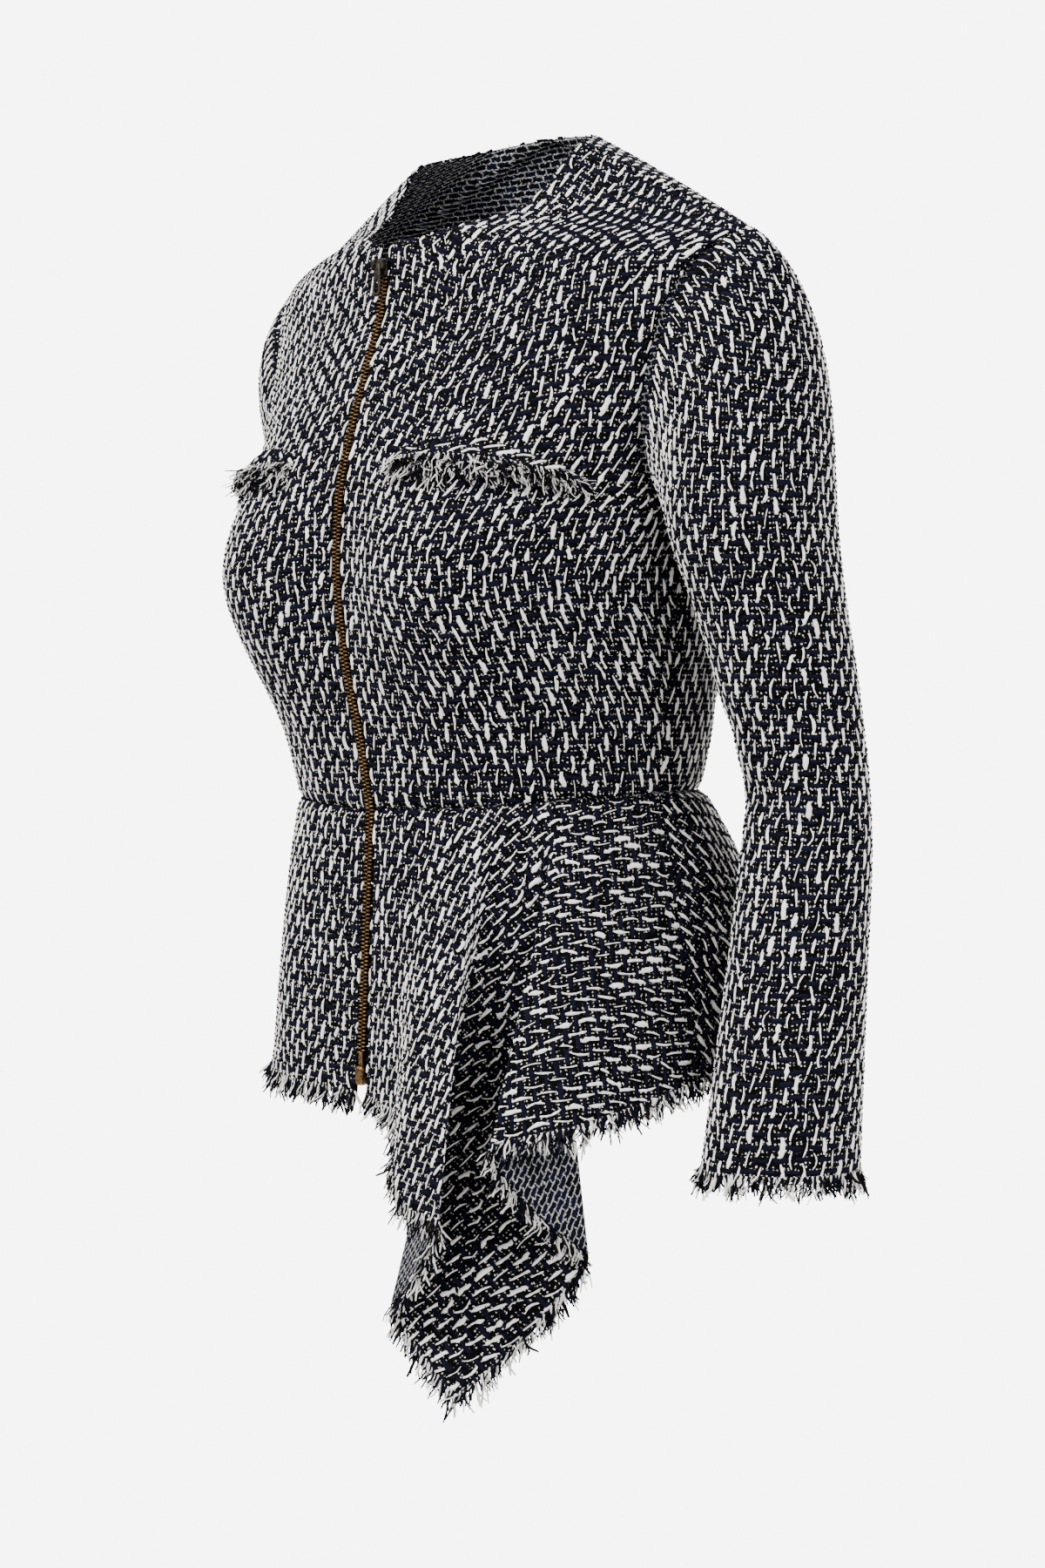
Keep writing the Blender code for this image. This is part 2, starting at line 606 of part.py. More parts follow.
def pocket_grid(lift):
    """Points of the left pocket welt, raised off the front panel by a share of its thickness."""
    across, up = POCKET_CELLS
    share = np.linspace(0.0, 1.0, across + 1)
    rise = np.linspace(0.0, 1.0, up + 1)
    u, foot, per_metre = pocket_places()
    height = POCKET_END_HEIGHT + (POCKET_MID_HEIGHT - POCKET_END_HEIGHT) * np.sin(np.pi * share)
    grid = np.empty((up + 1, across + 1, 3))
    for column in range(across + 1):
        v = foot + rise * height[column] * per_metre
        grid[:, column] = bodice_points(FRONT, [u[column]], v, BUST_DEPTH)[:, 0]
    puff = np.sin(np.pi * rise)[:, None] * np.sin(np.pi * share)[None, :]
    raised = POCKET_SEAT + lift * (POCKET_RIM + POCKET_PUFF * puff)
    return grid - raised[..., None] * inward(grid)


def pocket_edge(lift):
    """Two rows of points off the front panel at the pocket's foot, the lower one leaning away."""
    u, foot, per_metre = pocket_places()
    panel = bodice_points(FRONT, u, [foot + STRAND_LENGTH * per_metre, foot], BUST_DEPTH)
    lean = np.array((0.0, POCKET_FRAY_LEAN))
    return panel - (lift + lean)[:, None, None] * inward(panel)


def build_pockets():
    """Two padded welts and the frayed edge below each."""
    outer = pocket_grid(1.0)
    under = pocket_grid(0.0)
    edge_out = pocket_edge(POCKET_SEAT + POCKET_RIM)
    edge_in = pocket_edge(POCKET_SEAT)
    for side, place in (("left", np.array), ("right", mirrored)):
        add_wall(f"pocket_{side}", place(outer), place(under), TWEED)
        build_fringe(f"fringe_pocket_{side}", place(edge_out), place(edge_in), POCKET_STRANDS, False)


def centre_line(margin, peplum_rows):
    """Left centre-front points from the neck to the hem, a margin in from the front's edge."""
    v = bodice_rows(FRONT, FRONT_NECK_ROW)[BODY_ROWS::-1]
    bodice = bodice_points(FRONT, [margin / MEAN_ROW], v, BUST_DEPTH)[:, 0]
    hem = MEAN_HEM if peplum_rows is LEFT_PEPLUM else MEAN_ROW
    down = np.linspace(TAPE_TOP_SHARE, TAPE_END_SHARE, TAPE_HEM_ROWS)
    peplum = peplum_points(peplum_rows, [margin / hem], down, FRONT, BUST_DEPTH)[:, 0]
    return np.concatenate((bodice, peplum))


def front_y(z):
    """Depth of the centre front at a height."""
    line = centre_line(0.0, LEFT_PEPLUM)
    return np.interp(z, line[::-1, 2], line[::-1, 1])


def add_bar(name, heights, half, front, back, finish):
    """Bar in the zip's gap that follows the centre front, between two depths from its face."""
    y = front_y(heights)
    outer = np.stack([
        np.column_stack((np.full_like(y, x), y + front, heights)) for x in (-half, half)
    ], axis=1)
    inner = outer + np.array((0.0, back - front, 0.0))
    return add_wall(name, outer, inner, finish)


def build_zip():
    """Tape behind the fronts, chain in their gap, slider with its pull, and the box at the hem."""
    left = [centre_line(margin, LEFT_PEPLUM) for margin in (0.0, TAPE_MARGIN)]
    right = [mirrored(centre_line(margin, RIGHT_PEPLUM)) for margin in (TAPE_MARGIN, 0.0)]
    across = np.stack(right + left, axis=1)
    face = across + np.array((0.0, WALL + TAPE_SEAT, 0.0))
    add_wall("zip_tape", face, face + np.array((0.0, TAPE_THICK, 0.0)), TAPE)
    chain_top = SLIDER_TOP - SLIDER_LENGTH - SEAM
    chain = np.linspace(chain_top, BOX_TOP + SEAM, CHAIN_ROWS)
    box = np.linspace(BOX_TOP, BOX_TOP - BOX_LENGTH, BOX_ROWS)
    add_bar("zip_chain", chain, CHAIN_HALF, -CHAIN_PROUD, WALL, BRASS)
    add_bar("zip_box", box, CHAIN_HALF, -BOX_PROUD, WALL, BRASS)
    build_slider()


def build_slider():
    """Slider: a T section with two cheeks in front, and the pull tab that turns between them."""
    section = np.array((
        (SLIDER_HALF, SLIDER_BACK), (SLIDER_HALF, SLIDER_FACE), (CHEEK_OUT, SLIDER_FACE),
        (CHEEK_OUT, CHEEK_FRONT), (CHEEK_IN, CHEEK_FRONT), (CHEEK_IN, SLIDER_WEB),
    ))
    section = np.concatenate((section, section[::-1] * np.array((-1.0, 1.0))))
    count = len(section)
    ends = []
    for z in (SLIDER_TOP, SLIDER_TOP - SLIDER_LENGTH):
        ends.append(np.column_stack((section[:, 0], section[:, 1] + front_y(z), np.full(count, z))))
    faces = [tuple(range(count)), tuple(range(2 * count - 1, count - 1, -1))]
    for corner in range(count):
        after = (corner + 1) % count
        faces.append((corner, count + corner, count + after, after))
    add_solid("zip_slider", np.concatenate(ends), faces, BRONZE)

    pivot_z = SLIDER_TOP - PULL_DROP
    low_z = pivot_z - PULL_LENGTH
    pivot = np.array((0.0, front_y(pivot_z) - PULL_OUT, pivot_z))
    tilt = np.arctan2(front_y(pivot_z) - front_y(low_z), PULL_LENGTH)
    turn = np.linspace(0.0, np.pi, PULL_HEAD_POINTS)
    head = [(PULL_RADIUS * np.cos(a), PULL_RADIUS * np.sin(a)) for a in turn]
    outline = [(PULL_HALF_THICK, -PULL_LENGTH), *head, (-PULL_HALF_THICK, -PULL_LENGTH)]
    widths = [PULL_END_HALF] + [PULL_HALF_WIDTH] * len(head) + [PULL_END_HALF]
    right = [(width, y, z) for width, (y, z) in zip(widths, outline)]
    left = [(-x, y, z) for x, y, z in right]
    count = len(outline)
    faces = [tuple(range(count)), tuple(range(2 * count - 1, count - 1, -1))]
    for corner in range(count):
        after = (corner + 1) % count
        faces.append((corner, count + corner, count + after, after))
    pull = add_solid("zip_pull", right + left, faces, BRONZE)
    pull.location = pivot
    pull.rotation_euler = (-tilt, 0.0, 0.0)


def main():
    """Clear the scene and build the jacket."""
    for old in list(bpy.data.objects):
        bpy.data.objects.remove(old)
    build_bodice()
    build_sleeves()
    build_peplum()
    build_pockets()
    build_zip()


if __name__ == "__main__":
    main()
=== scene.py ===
"""Looks of a collarless tweed jacket: cloth shells, slub yarns, frayed edges and an exposed metal zip.

Metres, +Z up. The jacket faces -Y and its left side is +X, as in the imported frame.
"""
import logging
import math
from dataclasses import dataclass, field, replace
from enum import Enum, IntEnum
from typing import Dict, List, NamedTuple, Optional, Sequence, Tuple, Union

import bmesh
import bpy
import numpy as np
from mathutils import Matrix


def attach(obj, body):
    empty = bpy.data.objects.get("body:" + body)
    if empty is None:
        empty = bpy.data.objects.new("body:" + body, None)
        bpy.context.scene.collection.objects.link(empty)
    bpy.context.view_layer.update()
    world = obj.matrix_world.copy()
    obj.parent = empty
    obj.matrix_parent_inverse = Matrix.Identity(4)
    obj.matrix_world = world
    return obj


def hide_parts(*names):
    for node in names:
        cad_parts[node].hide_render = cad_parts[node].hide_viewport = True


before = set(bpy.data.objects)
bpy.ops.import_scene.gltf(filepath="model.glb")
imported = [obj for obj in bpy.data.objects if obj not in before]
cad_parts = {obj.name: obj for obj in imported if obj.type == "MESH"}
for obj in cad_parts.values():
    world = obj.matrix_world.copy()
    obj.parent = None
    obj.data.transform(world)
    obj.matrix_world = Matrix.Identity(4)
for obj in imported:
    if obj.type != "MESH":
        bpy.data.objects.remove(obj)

Array = np.ndarray
Material = bpy.types.Material
Object = bpy.types.Object
Pair = Tuple[float, float]
Triple = Tuple[float, float, float]
Colour = Triple
LOG = logging.getLogger("jacket")
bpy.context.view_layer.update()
MIRROR = np.array((-1.0, 1.0, 1.0))
LEVEL = np.array((1.0, 1.0, 0.0))
MIDDLE = np.array((0.0, 1.0, 1.0))
DOWN = np.array((0.0, 0.0, -1.0))
SHORTEST = 1e-12
TINY = 1e-9

# Search for a flat place on a panel: coarse step, places at a time, rounds, longest step, largest miss
SEARCH_STRIDE = 4
SEARCH_BATCH = 3000
SEARCH_ROUNDS = 10
SEARCH_LONGEST = 6.0
SEARCH_MISS = 0.0012

# Roll of a seamed edge: its depth, its reach and the power of its fall
SEAM_ROLL = 0.0016
SEAM_REACH = 0.0026
SEAM_FALL = 1.5

# Upward part of the normal where the cross yarns begin to keep side to side, and the span to where they do
RIDGE_FROM = 0.35
RIDGE_SPAN = 0.4

# Small turn that keeps a tube's circles square where its path runs straight out of the cloth
TUBE_NUDGE = 0.01


class Body(str, Enum):
    """Bodies of the frame that pieces ride on."""

    GARMENT = "garment"
    PULL = "zip_pull"


class Slot(str, Enum):
    """Material slots of the record."""

    TWEED = "tweed"
    FRAY = "fray"
    TAPE = "zip_tape"
    BRASS = "zip_brass"
    BRONZE = "zip_bronze"


def unit(vectors: Array) -> Array:
    """Scale each vector to length one."""
    return vectors / np.maximum(np.linalg.norm(vectors, axis=-1, keepdims=True), SHORTEST)


def run_lengths(lines: Array) -> Array:
    """Distance from the start of each polyline to each of its points.

    Args:
        lines: points with the polyline's steps on the next-to-last axis.
    Returns:
        Running lengths, one for each point.
    """
    steps = np.linalg.norm(np.diff(lines, axis=-2), axis=-1)
    return np.concatenate((np.zeros(steps.shape[:-1] + (1,)), np.cumsum(steps, axis=-1)), axis=-1)


def table_slopes(knots: Array, values: Array) -> Array:
    """Slope of each column at each row of a table, by the harmonic mean of the rates on its two sides.

    The mean is zero where the rates differ in sign, so no curve swings past its rows.

    Args:
        knots: place of each row.
        values: the table, one row for each knot.
    Returns:
        Slopes, one row for each knot.
    """
    steps = np.diff(knots)[:, None]
    rates = np.diff(values, axis=0) / steps
    before, after = rates[:-1], rates[1:]
    near = 2 * steps[1:] + steps[:-1]
    far = steps[1:] + 2 * steps[:-1]
    rising = before * after > 0
    blend = near / np.where(rising, before, 1.0) + far / np.where(rising, after, 1.0)
    middle = np.where(rising, (near + far) / blend, 0.0)
    return np.concatenate((rates[:1], middle, rates[-1:]))


def smooth_table(knots: Array, values: Array, at: Array) -> Array:
    """Read a table between its rows with a cubic through every row.

    Args:
        knots: place of each row.
        values: the table, one row for each knot.
        at: places to read.
    Returns:
        One row for each place.
    """
    slopes = table_slopes(knots, values)
    row = np.clip(np.searchsorted(knots, at, side="right") - 1, 0, len(knots) - 2)
    span = (knots[row + 1] - knots[row])[:, None]
    t = (at - knots[row])[:, None] / span
    start = (1 + 2 * t) * (1 - t) ** 2 * values[row] + t * (1 - t) ** 2 * span * slopes[row]
    end = t * t * (3 - 2 * t) * values[row + 1] - t * t * (1 - t) * span * slopes[row + 1]
    return start + end


def resample(lines: Array, shares: Array) -> Array:
    """Points at the same shares of every polyline's length, by linear steps between its points.

    Args:
        lines: polylines, (count, steps, 3).
        shares: places from 0 to 1.
    Returns:
        Points, (count, places, 3).
    """
    run = run_lengths(lines)
    wanted = np.asarray(shares)[None, :] * run[:, -1:]
    after = np.clip((run[:, None, :] <= wanted[:, :, None]).sum(axis=-1), 1, lines.shape[1] - 1)
    line = np.arange(len(lines))[:, None]
    low, high = run[line, after - 1], run[line, after]
    t = ((wanted - low) / (high - low))[..., None]
    return lines[line, after - 1] * (1 - t) + lines[line, after] * t


def soften(values: Array, spacing: float, width: float) -> Array:
    """Gaussian average of evenly spaced rows that leaves the first and last row in place.

    Args:
        values: rows to average.
        spacing: distance between rows.
        width: standard deviation of the average, as a distance.
    Returns:
        The averaged rows.
    """
    reach = min(len(values) - 1, int(3 * width / spacing) + 1)
    weights = np.exp(-0.5 * (np.arange(-reach, reach + 1) * spacing / width) ** 2)
    weights /= weights.sum()
    before = 2 * values[0] - values[reach:0:-1]
    after = 2 * values[-1] - values[-2:-2 - reach:-1]
    padded = np.concatenate((before, values, after))
    return np.column_stack([np.convolve(column, weights, mode="valid") for column in padded.T])


def grid_quads(rows: int, columns: int, wrap: bool = False) -> Array:
    """Quads of a grid whose points are numbered row by row.

    Args:
        rows: rows of points.
        columns: columns of points.
        wrap: whether the last column joins the first.
    Returns:
        Corner numbers, (quads, 4).
    """
    cells = columns if wrap else columns - 1
    row, column = np.meshgrid(np.arange(rows - 1), np.arange(cells), indexing="ij")
    after = (column + 1) % columns
    low = row * columns
    high = low + columns
    return np.stack((low + column, low + after, high + after, high + column), axis=-1).reshape(-1, 4)


def many_quads(quads: Array, count: int, size: int) -> Array:
    """The same quads for many copies of a small shape with a given number of points."""
    return (quads[None] + (np.arange(count) * size)[:, None, None]).reshape(-1, 4)


class Piece(NamedTuple):
    """Arrays of one mesh: points, quads, a map in metres, a tone for each point, a finish for each quad."""

    vertices: Array
    quads: Array
    chart: Optional[Array] = None
    tone: Optional[Array] = None
    finish: Optional[Array] = None


def add_piece(
    name: str,
    piece: Piece,
    materials: Sequence[Material],
    body: Body = Body.GARMENT,
    replaces: Sequence[str] = (),
    weld: float = 0.0,
) -> Object:
    """Put a mesh in the scene, on its body, with its finish, and hide the nodes that it stands for.

    Args:
        name: name of the object.
        piece: the mesh's arrays.
        materials: finishes that the quads' numbers name.
        body: body that it rides on.
        replaces: nodes that it stands for.
        weld: distance within which its points are merged, or zero.
    Returns:
        The new object.
    """
    mesh = bpy.data.meshes.new(name)
    corners = piece.quads.astype(np.int32).ravel()
    mesh.vertices.add(len(piece.vertices))
    mesh.vertices.foreach_set("co", piece.vertices.astype(np.float32).ravel())
    mesh.loops.add(len(corners))
    mesh.loops.foreach_set("vertex_index", corners)
    mesh.polygons.add(len(piece.quads))
    mesh.polygons.foreach_set("loop_start", np.arange(0, len(corners), 4, dtype=np.int32))
    if piece.finish is not None:
        mesh.polygons.foreach_set("material_index", piece.finish.astype(np.int32))
    mesh.update(calc_edges=True)
    if piece.chart is not None:
        layer = mesh.uv_layers.new(name="cloth")
        layer.data.foreach_set("uv", piece.chart[corners].astype(np.float32).ravel())
    if piece.tone is not None:
        tone = mesh.attributes.new("tone", "FLOAT", "POINT")
        tone.data.foreach_set("value", piece.tone.astype(np.float32))
    if weld:
        work = bmesh.new()
        work.from_mesh(mesh)
        bmesh.ops.remove_doubles(work, verts=work.verts, dist=weld)
        work.to_mesh(mesh)
        work.free()
    for material in materials:
        mesh.materials.append(material)
    mesh.shade_smooth()
    thing = bpy.data.objects.new(name, mesh)
    bpy.context.scene.collection.objects.link(thing)
    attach(thing, body.value)
    if replaces:
        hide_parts(*replaces)
    LOG.info("%s: %d quads", name, len(piece.quads))
    return thing


# Shader maths

class Socket:
    """A node's output, with operators that add Math nodes."""

    def __init__(self, graph: "Graph", socket: bpy.types.NodeSocket) -> None:
        """Keep the graph and the output."""
        self.graph = graph
        self.socket = socket

    def math(self, operation: str, *values: "Value") -> "Socket":
        """Math node of this value and others."""
        inputs = dict(enumerate((self, *values)))
        return self.graph.node("ShaderNodeMath", {"operation": operation}, inputs)

    def __add__(self, other: "Value") -> "Socket":
        """Sum."""
        return self.math("ADD", other)

    __radd__ = __add__

    def __sub__(self, other: "Value") -> "Socket":
        """Difference."""
        return self.math("SUBTRACT", other)

    def __rsub__(self, other: float) -> "Socket":
        """A number less this value."""
        return self.graph.node("ShaderNodeMath", {"operation": "SUBTRACT"}, {0: other, 1: self})

    def __mul__(self, other: "Value") -> "Socket":
        """Product."""
        return self.math("MULTIPLY", other)

    __rmul__ = __mul__

    def __truediv__(self, other: "Value") -> "Socket":
        """Quotient."""
        return self.math("DIVIDE", other)

    def ramp(self, low: float, high: float) -> "Socket":
        """Smooth step from 0 at low to 1 at high."""
        settings = {"interpolation_type": "SMOOTHSTEP"}
        return self.graph.node("ShaderNodeMapRange", settings, {"Value": self, 1: low, 2: high})


Value = Union[Socket, float]


class Graph:
    """Node tree of one finish."""

    def __init__(self, name: str) -> None:
        """Start a material with its shader.

        Args:
            name: name of the material.
        """
        self.material = bpy.data.materials.new(name)
        self.material.use_nodes = True
        self.tree = self.material.node_tree
        self.shader = self.tree.nodes["Principled BSDF"]

    def put(self, socket: bpy.types.NodeSocket, value: object) -> None:
        """Link an output to a socket, or set its number, vector or colour.

        Args:
            socket: the socket to fill.
            value: an output, or what to set.
        """
        if isinstance(value, Socket):
            self.tree.links.new(value.socket, socket)
        elif isinstance(value, tuple) and len(value) == 3 and socket.type == "RGBA":
            socket.default_value = (*value, 1.0)
        else:
            socket.default_value = value

    def node(
        self, kind: str, settings: Dict[str, object], inputs: Dict, output: Union[int, str] = 0,
    ) -> Socket:
        """Add a node, set it up, then fill its sockets.

        Args:
            kind: the node's type.
            settings: its properties.
            inputs: numbers, colours or links by socket name or place.
            output: the output to give back.
        Returns:
            The wrapped output.
        """
        made = self.tree.nodes.new(kind)
        for key, value in settings.items():
            setattr(made, key, value)
        for key, value in inputs.items():
            self.put(made.inputs[key], value)
        return Socket(self, made.outputs[output])

    def mix(self, share: Value, first: object, second: object) -> Socket:
        """Colour between two colours."""
        return self.node("ShaderNodeMix", {"data_type": "RGBA"}, {0: share, 6: first, 7: second}, 2)

    def chart(self) -> Socket:
        """The piece's own map, in metres of cloth."""
        return self.node("ShaderNodeUVMap", {"uv_map": "cloth"}, {})

    def place(self) -> Socket:
        """Place on the piece, in metres."""
        return self.node("ShaderNodeTexCoord", {}, {}, "Object")

    def tone(self) -> Socket:
        """The piece's tone, from 0 to 1 on each yarn."""
        return self.node("ShaderNodeAttribute", {"attribute_name": "tone"}, {}, "Fac")

    def noise(self, place: Socket, scale: float, detail: float = 2.0, output: Union[int, str] = 0) -> Socket:
        """Noise at a place, as a value or as another of the node's outputs."""
        inputs = {"Vector": place, "Scale": scale, "Detail": detail}
        return self.node("ShaderNodeTexNoise", {"noise_dimensions": "3D"}, inputs, output)

    def lumps(self, place: Socket, scale: float) -> Socket:
        """Round lumps: one in the middle of each cell, less by the distance from it."""
        return 1 - self.node("ShaderNodeTexVoronoi", {}, {"Vector": place, "Scale": scale})

    def vector(self, operation: str, *values: object) -> Socket:
        """Vector Math node of places, colours or triples."""
        return self.node("ShaderNodeVectorMath", {"operation": operation}, dict(enumerate(values)))

    def shaken(self, place: Socket, scale: float, detail: float, reach: float) -> Socket:
        """A place moved along each axis by noise, by half the reach at most."""
        centred = self.vector("SUBTRACT", self.noise(place, scale, detail, "Color"), (0.5, 0.5, 0.5))
        return self.vector("MULTIPLY_ADD", centred, (reach, reach, reach), place)

    def bump(self, height: Socket, distance: float, strength: float = 1.0) -> Socket:
        """Normal of a height that a distance in metres scales."""
        return self.node("ShaderNodeBump", {}, {"Strength": strength, "Distance": distance, "Height": height})

    def close(self, sockets: Dict[str, object]) -> Material:
        """Fill the shader's sockets.

        Args:
            sockets: numbers, colours or links by socket name.
        Returns:
            The finished material.
        """
        for key, value in sockets.items():
            self.put(self.shader.inputs[key], value)
        return self.material

    def matt(self, colour: Socket, normal: Socket, rough: float = 0.95, gloss: float = 0.02) -> Material:
        """Finished material of a cloth or a yarn, rough and with a weak shine."""
        shine = {"Roughness": rough, "Specular IOR Level": gloss}
        return self.close({"Base Color": colour, "Normal": normal, **shine})


@dataclass(frozen=True)
class BoucleGround:
    """Dark bouclé ground between the thick yarns, with pale flecks beside each dark bar."""

    name: str = "boucle_ground"
    # Painted light: black is the yarn in painted shade at the lumps' rims, and the second colour is its
    # painted highlight on their crowns.
    black: Colour = (0.0018, 0.0017, 0.0017)
    painted_highlight: Colour = (0.0062, 0.0055, 0.0050)
    navy: Colour = (0.0024, 0.0027, 0.0070)
    fleck: Colour = (0.52, 0.505, 0.485)
    lump: float = 0.0026
    lump_lit: Pair = (0.50, 1.0)
    fibre: float = 0.00052
    fibre_lit: Pair = (0.35, 0.75)
    navy_patch: float = 0.0065
    navy_from: Pair = (0.54, 0.64)
    navy_share: float = 0.8
    pitch: Pair = (0.0060, 0.0067)
    wander: float = 0.0036
    wander_size: float = 0.0096
    fleck_from_bar: float = 0.27
    fleck_from_middle: float = 0.19
    fleck_half: Pair = (0.098, 0.080)
    fleck_rim: Pair = (0.55, 1.15)
    fleck_patch: float = 0.0033
    fleck_from: Pair = (0.40, 0.48)
    fibre_relief: float = 0.4
    fleck_relief: float = 0.5
    relief: float = 0.0014

    def fleck_mask(self, graph: Graph, chart: Socket) -> Socket:
        """Flecks on the weave's grid: ellipses at two places each side of a bar, on a map shaken by noise.

        Args:
            graph: the finish's nodes.
            chart: the cloth's map.
        Returns:
            One inside a fleck and zero outside.
        """
        moved = graph.shaken(chart, 1 / self.wander_size, 3.0, self.wander)
        cells = graph.vector("MULTIPLY", moved, (1 / self.pitch[0], 1 / self.pitch[1], 1.0))
        across, along = (
            graph.node("ShaderNodeSeparateXYZ", {}, {0: cells}, axis).math("PINGPONG", 0.5) for axis in (0, 1)
        )
        aside = (across - (0.5 - self.fleck_from_middle)) / self.fleck_half[0]
        away = (along - self.fleck_from_bar) / self.fleck_half[1]
        inside = 1 - (aside * aside + away * away).ramp(*self.fleck_rim)
        return inside * graph.noise(chart, 1 / self.fleck_patch, 1.0).ramp(*self.fleck_from)

    def material(self) -> Material:
        """Round lumps by cell distance, each crown painted lighter and each rim darker as painted light,
        shaded by fibre noise, with navy patches and pale flecks.
        """
        graph = Graph(self.name)
        chart = graph.chart()
        crown = graph.lumps(chart, 1 / self.lump)
        fine = graph.noise(chart, 1 / self.fibre, 3.0)
        # Painted light: a lump's crown is painted lighter and its rim darker by the distance from its cell's
        # middle, broken by fibre noise.
        painted_highlight = crown.ramp(*self.lump_lit) * fine.ramp(*self.fibre_lit)
        blue = graph.noise(chart, 1 / self.navy_patch).ramp(*self.navy_from) * self.navy_share
        dark = graph.mix(blue, graph.mix(painted_highlight, self.black, self.painted_highlight), self.navy)
        fleck = self.fleck_mask(graph, chart)
        normal = graph.bump(crown + self.fibre_relief * fine + self.fleck_relief * fleck, self.relief)
        return graph.matt(graph.mix(fleck, dark, self.fleck), normal)


@dataclass(frozen=True)
class Reverse:
    """Wrong side of the cloth: an even grid of dark blocks between thin pale lines."""

    name: str = "tweed_reverse"
    black: Colour = (0.0024, 0.0022, 0.0022)
    navy: Colour = (0.0050, 0.0065, 0.021)
    pale: Colour = (0.36, 0.355, 0.35)
    block: Pair = (0.0080, 0.0040)
    line: float = 0.0005
    line_soft: float = 0.3
    navy_bias: float = -0.1
    wander: float = 0.0033
    wander_scale: float = 420.0
    gap_scale: float = 900.0
    gap_from: Pair = (0.42, 0.6)
    gap_share: float = 0.75
    lump_scale: float = 620.0
    relief: float = 0.0010

    def material(self) -> Material:
        """Bricks on a map shaken by noise, their joints pale and broken by more noise."""
        graph = Graph(self.name)
        chart = graph.chart()
        bricks = graph.node("ShaderNodeTexBrick", {"offset": 0.5, "squash": 1.0}, {
            "Vector": graph.shaken(chart, self.wander_scale, 2.0, self.wander),
            "Color1": self.navy, "Color2": self.black, "Mortar": self.pale, "Scale": 1.0,
            "Mortar Size": self.line, "Mortar Smooth": self.line_soft, "Bias": self.navy_bias,
            "Brick Width": self.block[0], "Row Height": self.block[1],
        })
        gaps = graph.noise(chart, self.gap_scale).ramp(*self.gap_from) * self.gap_share
        normal = graph.bump(graph.lumps(chart, self.lump_scale), self.relief)
        return graph.matt(graph.mix(gaps, bricks, self.black), normal)


@dataclass(frozen=True)
class SpunYarn:
    """Soft spun yarn: streaks of fibre along it and a change of shade from yarn to yarn."""

    name: str
    light: Colour
    dark: Colour
    streak: float = 2600.0
    contrast: float = 0.5
    gloss: float = 0.02
    stretch: float = 0.16
    fibre_lit: Pair = (0.36, 0.62)
    relief: float = 0.0005
    relief_strength: float = 0.8
    rough: float = 0.9

    def material(self) -> Material:
        """Noise stretched along the yarn's map shades it between its two colours and lifts its fibres."""
        graph = Graph(self.name)
        scale = (self.streak, self.streak * self.stretch, 1.0)
        stretched = graph.vector("MULTIPLY", graph.chart(), scale)
        fibres = graph.noise(stretched, 1.0, 3.0)
        shade = fibres.ramp(*self.fibre_lit) * (1 - self.contrast) + graph.tone() * self.contrast
        normal = graph.bump(fibres, self.relief, self.relief_strength)
        return graph.matt(graph.mix(shade, self.dark, self.light), normal, self.rough, self.gloss)


@dataclass(frozen=True)
class WovenTape:
    """Black twill tape of the zip."""

    name: str = "zip_twill"
    # Painted light: black is the tape in painted shade in the ribs' troughs, and the second colour is its
    # painted highlight on their crests.
    black: Colour = (0.0020, 0.0020, 0.0023)
    painted_highlight: Colour = (0.0065, 0.0065, 0.0070)
    rib_scale: float = 500.0
    uneven: float = 1.0
    relief: float = 0.0003
    rough: float = 0.9
    gloss: float = 0.05

    def material(self) -> Material:
        """Diagonal ribs: a wave along the sum of x, y and z, bent by noise, that paints the ribs' crests
        lighter as painted highlight and bumps them.
        """
        graph = Graph(self.name)
        inputs = {"Vector": graph.place(), "Scale": self.rib_scale, "Distortion": self.uneven}
        ribs = graph.node("ShaderNodeTexWave", {"bands_direction": "DIAGONAL"}, inputs)
        # Painted light: the ribs' crests are painted lighter than their troughs.
        colour = graph.mix(ribs, self.black, self.painted_highlight)
        return graph.matt(colour, graph.bump(ribs, self.relief), self.rough, self.gloss)


@dataclass(frozen=True)
class AgedMetal:
    """Worn antique metal: bright on rubbed patches and dull in the rest."""

    name: str
    bright: Colour
    dull: Colour
    grain: float = 700.0
    worn_from: Pair = (0.35, 0.65)
    rough: float = 0.5
    rubbed: float = 0.18
    scratch_scale: float = 3500.0
    relief: float = 0.0001

    def material(self) -> Material:
        """Noise sets the colour from dull to bright and the roughness with it. Finer noise is the relief."""
        graph = Graph(self.name)
        place = graph.place()
        worn = graph.noise(place, self.grain, 4.0).ramp(*self.worn_from)
        return graph.close({
            "Base Color": graph.mix(worn, self.dull, self.bright),
            "Roughness": self.rough - self.rubbed * worn,
            "Normal": graph.bump(graph.noise(place, self.scratch_scale), self.relief),
            "Metallic": 1.0,
        })


@dataclass(frozen=True)
class PaleFloor:
    """Matt pale paint of the studio floor."""

    name: str = "pale_floor"
    light: Colour = (0.90, 0.90, 0.89)
    dark: Colour = (0.86, 0.86, 0.85)
    cloud_scale: float = 3.0
    rough: float = 0.9

    def material(self) -> Material:
        """Broad soft noise between two pale tones."""
        graph = Graph(self.name)
        shade = graph.noise(graph.place(), self.cloud_scale)
        return graph.close({"Base Color": graph.mix(shade, self.dark, self.light), "Roughness": self.rough})


# Shapes of the cloth

class BodiceRow(NamedTuple):
    """One level of a bodice half, from edge a (centre, then neckline) to edge b (side seam, then armhole)."""

    za: float
    xa: float
    ya: float
    zb: float
    xb: float
    yb: float
    power: float


class SleeveRing(NamedTuple):
    """One ring of a sleeve: its centre and its half widths across (x) and front to back (y)."""

    x: float
    y: float
    z: float
    half_x: float
    half_y: float


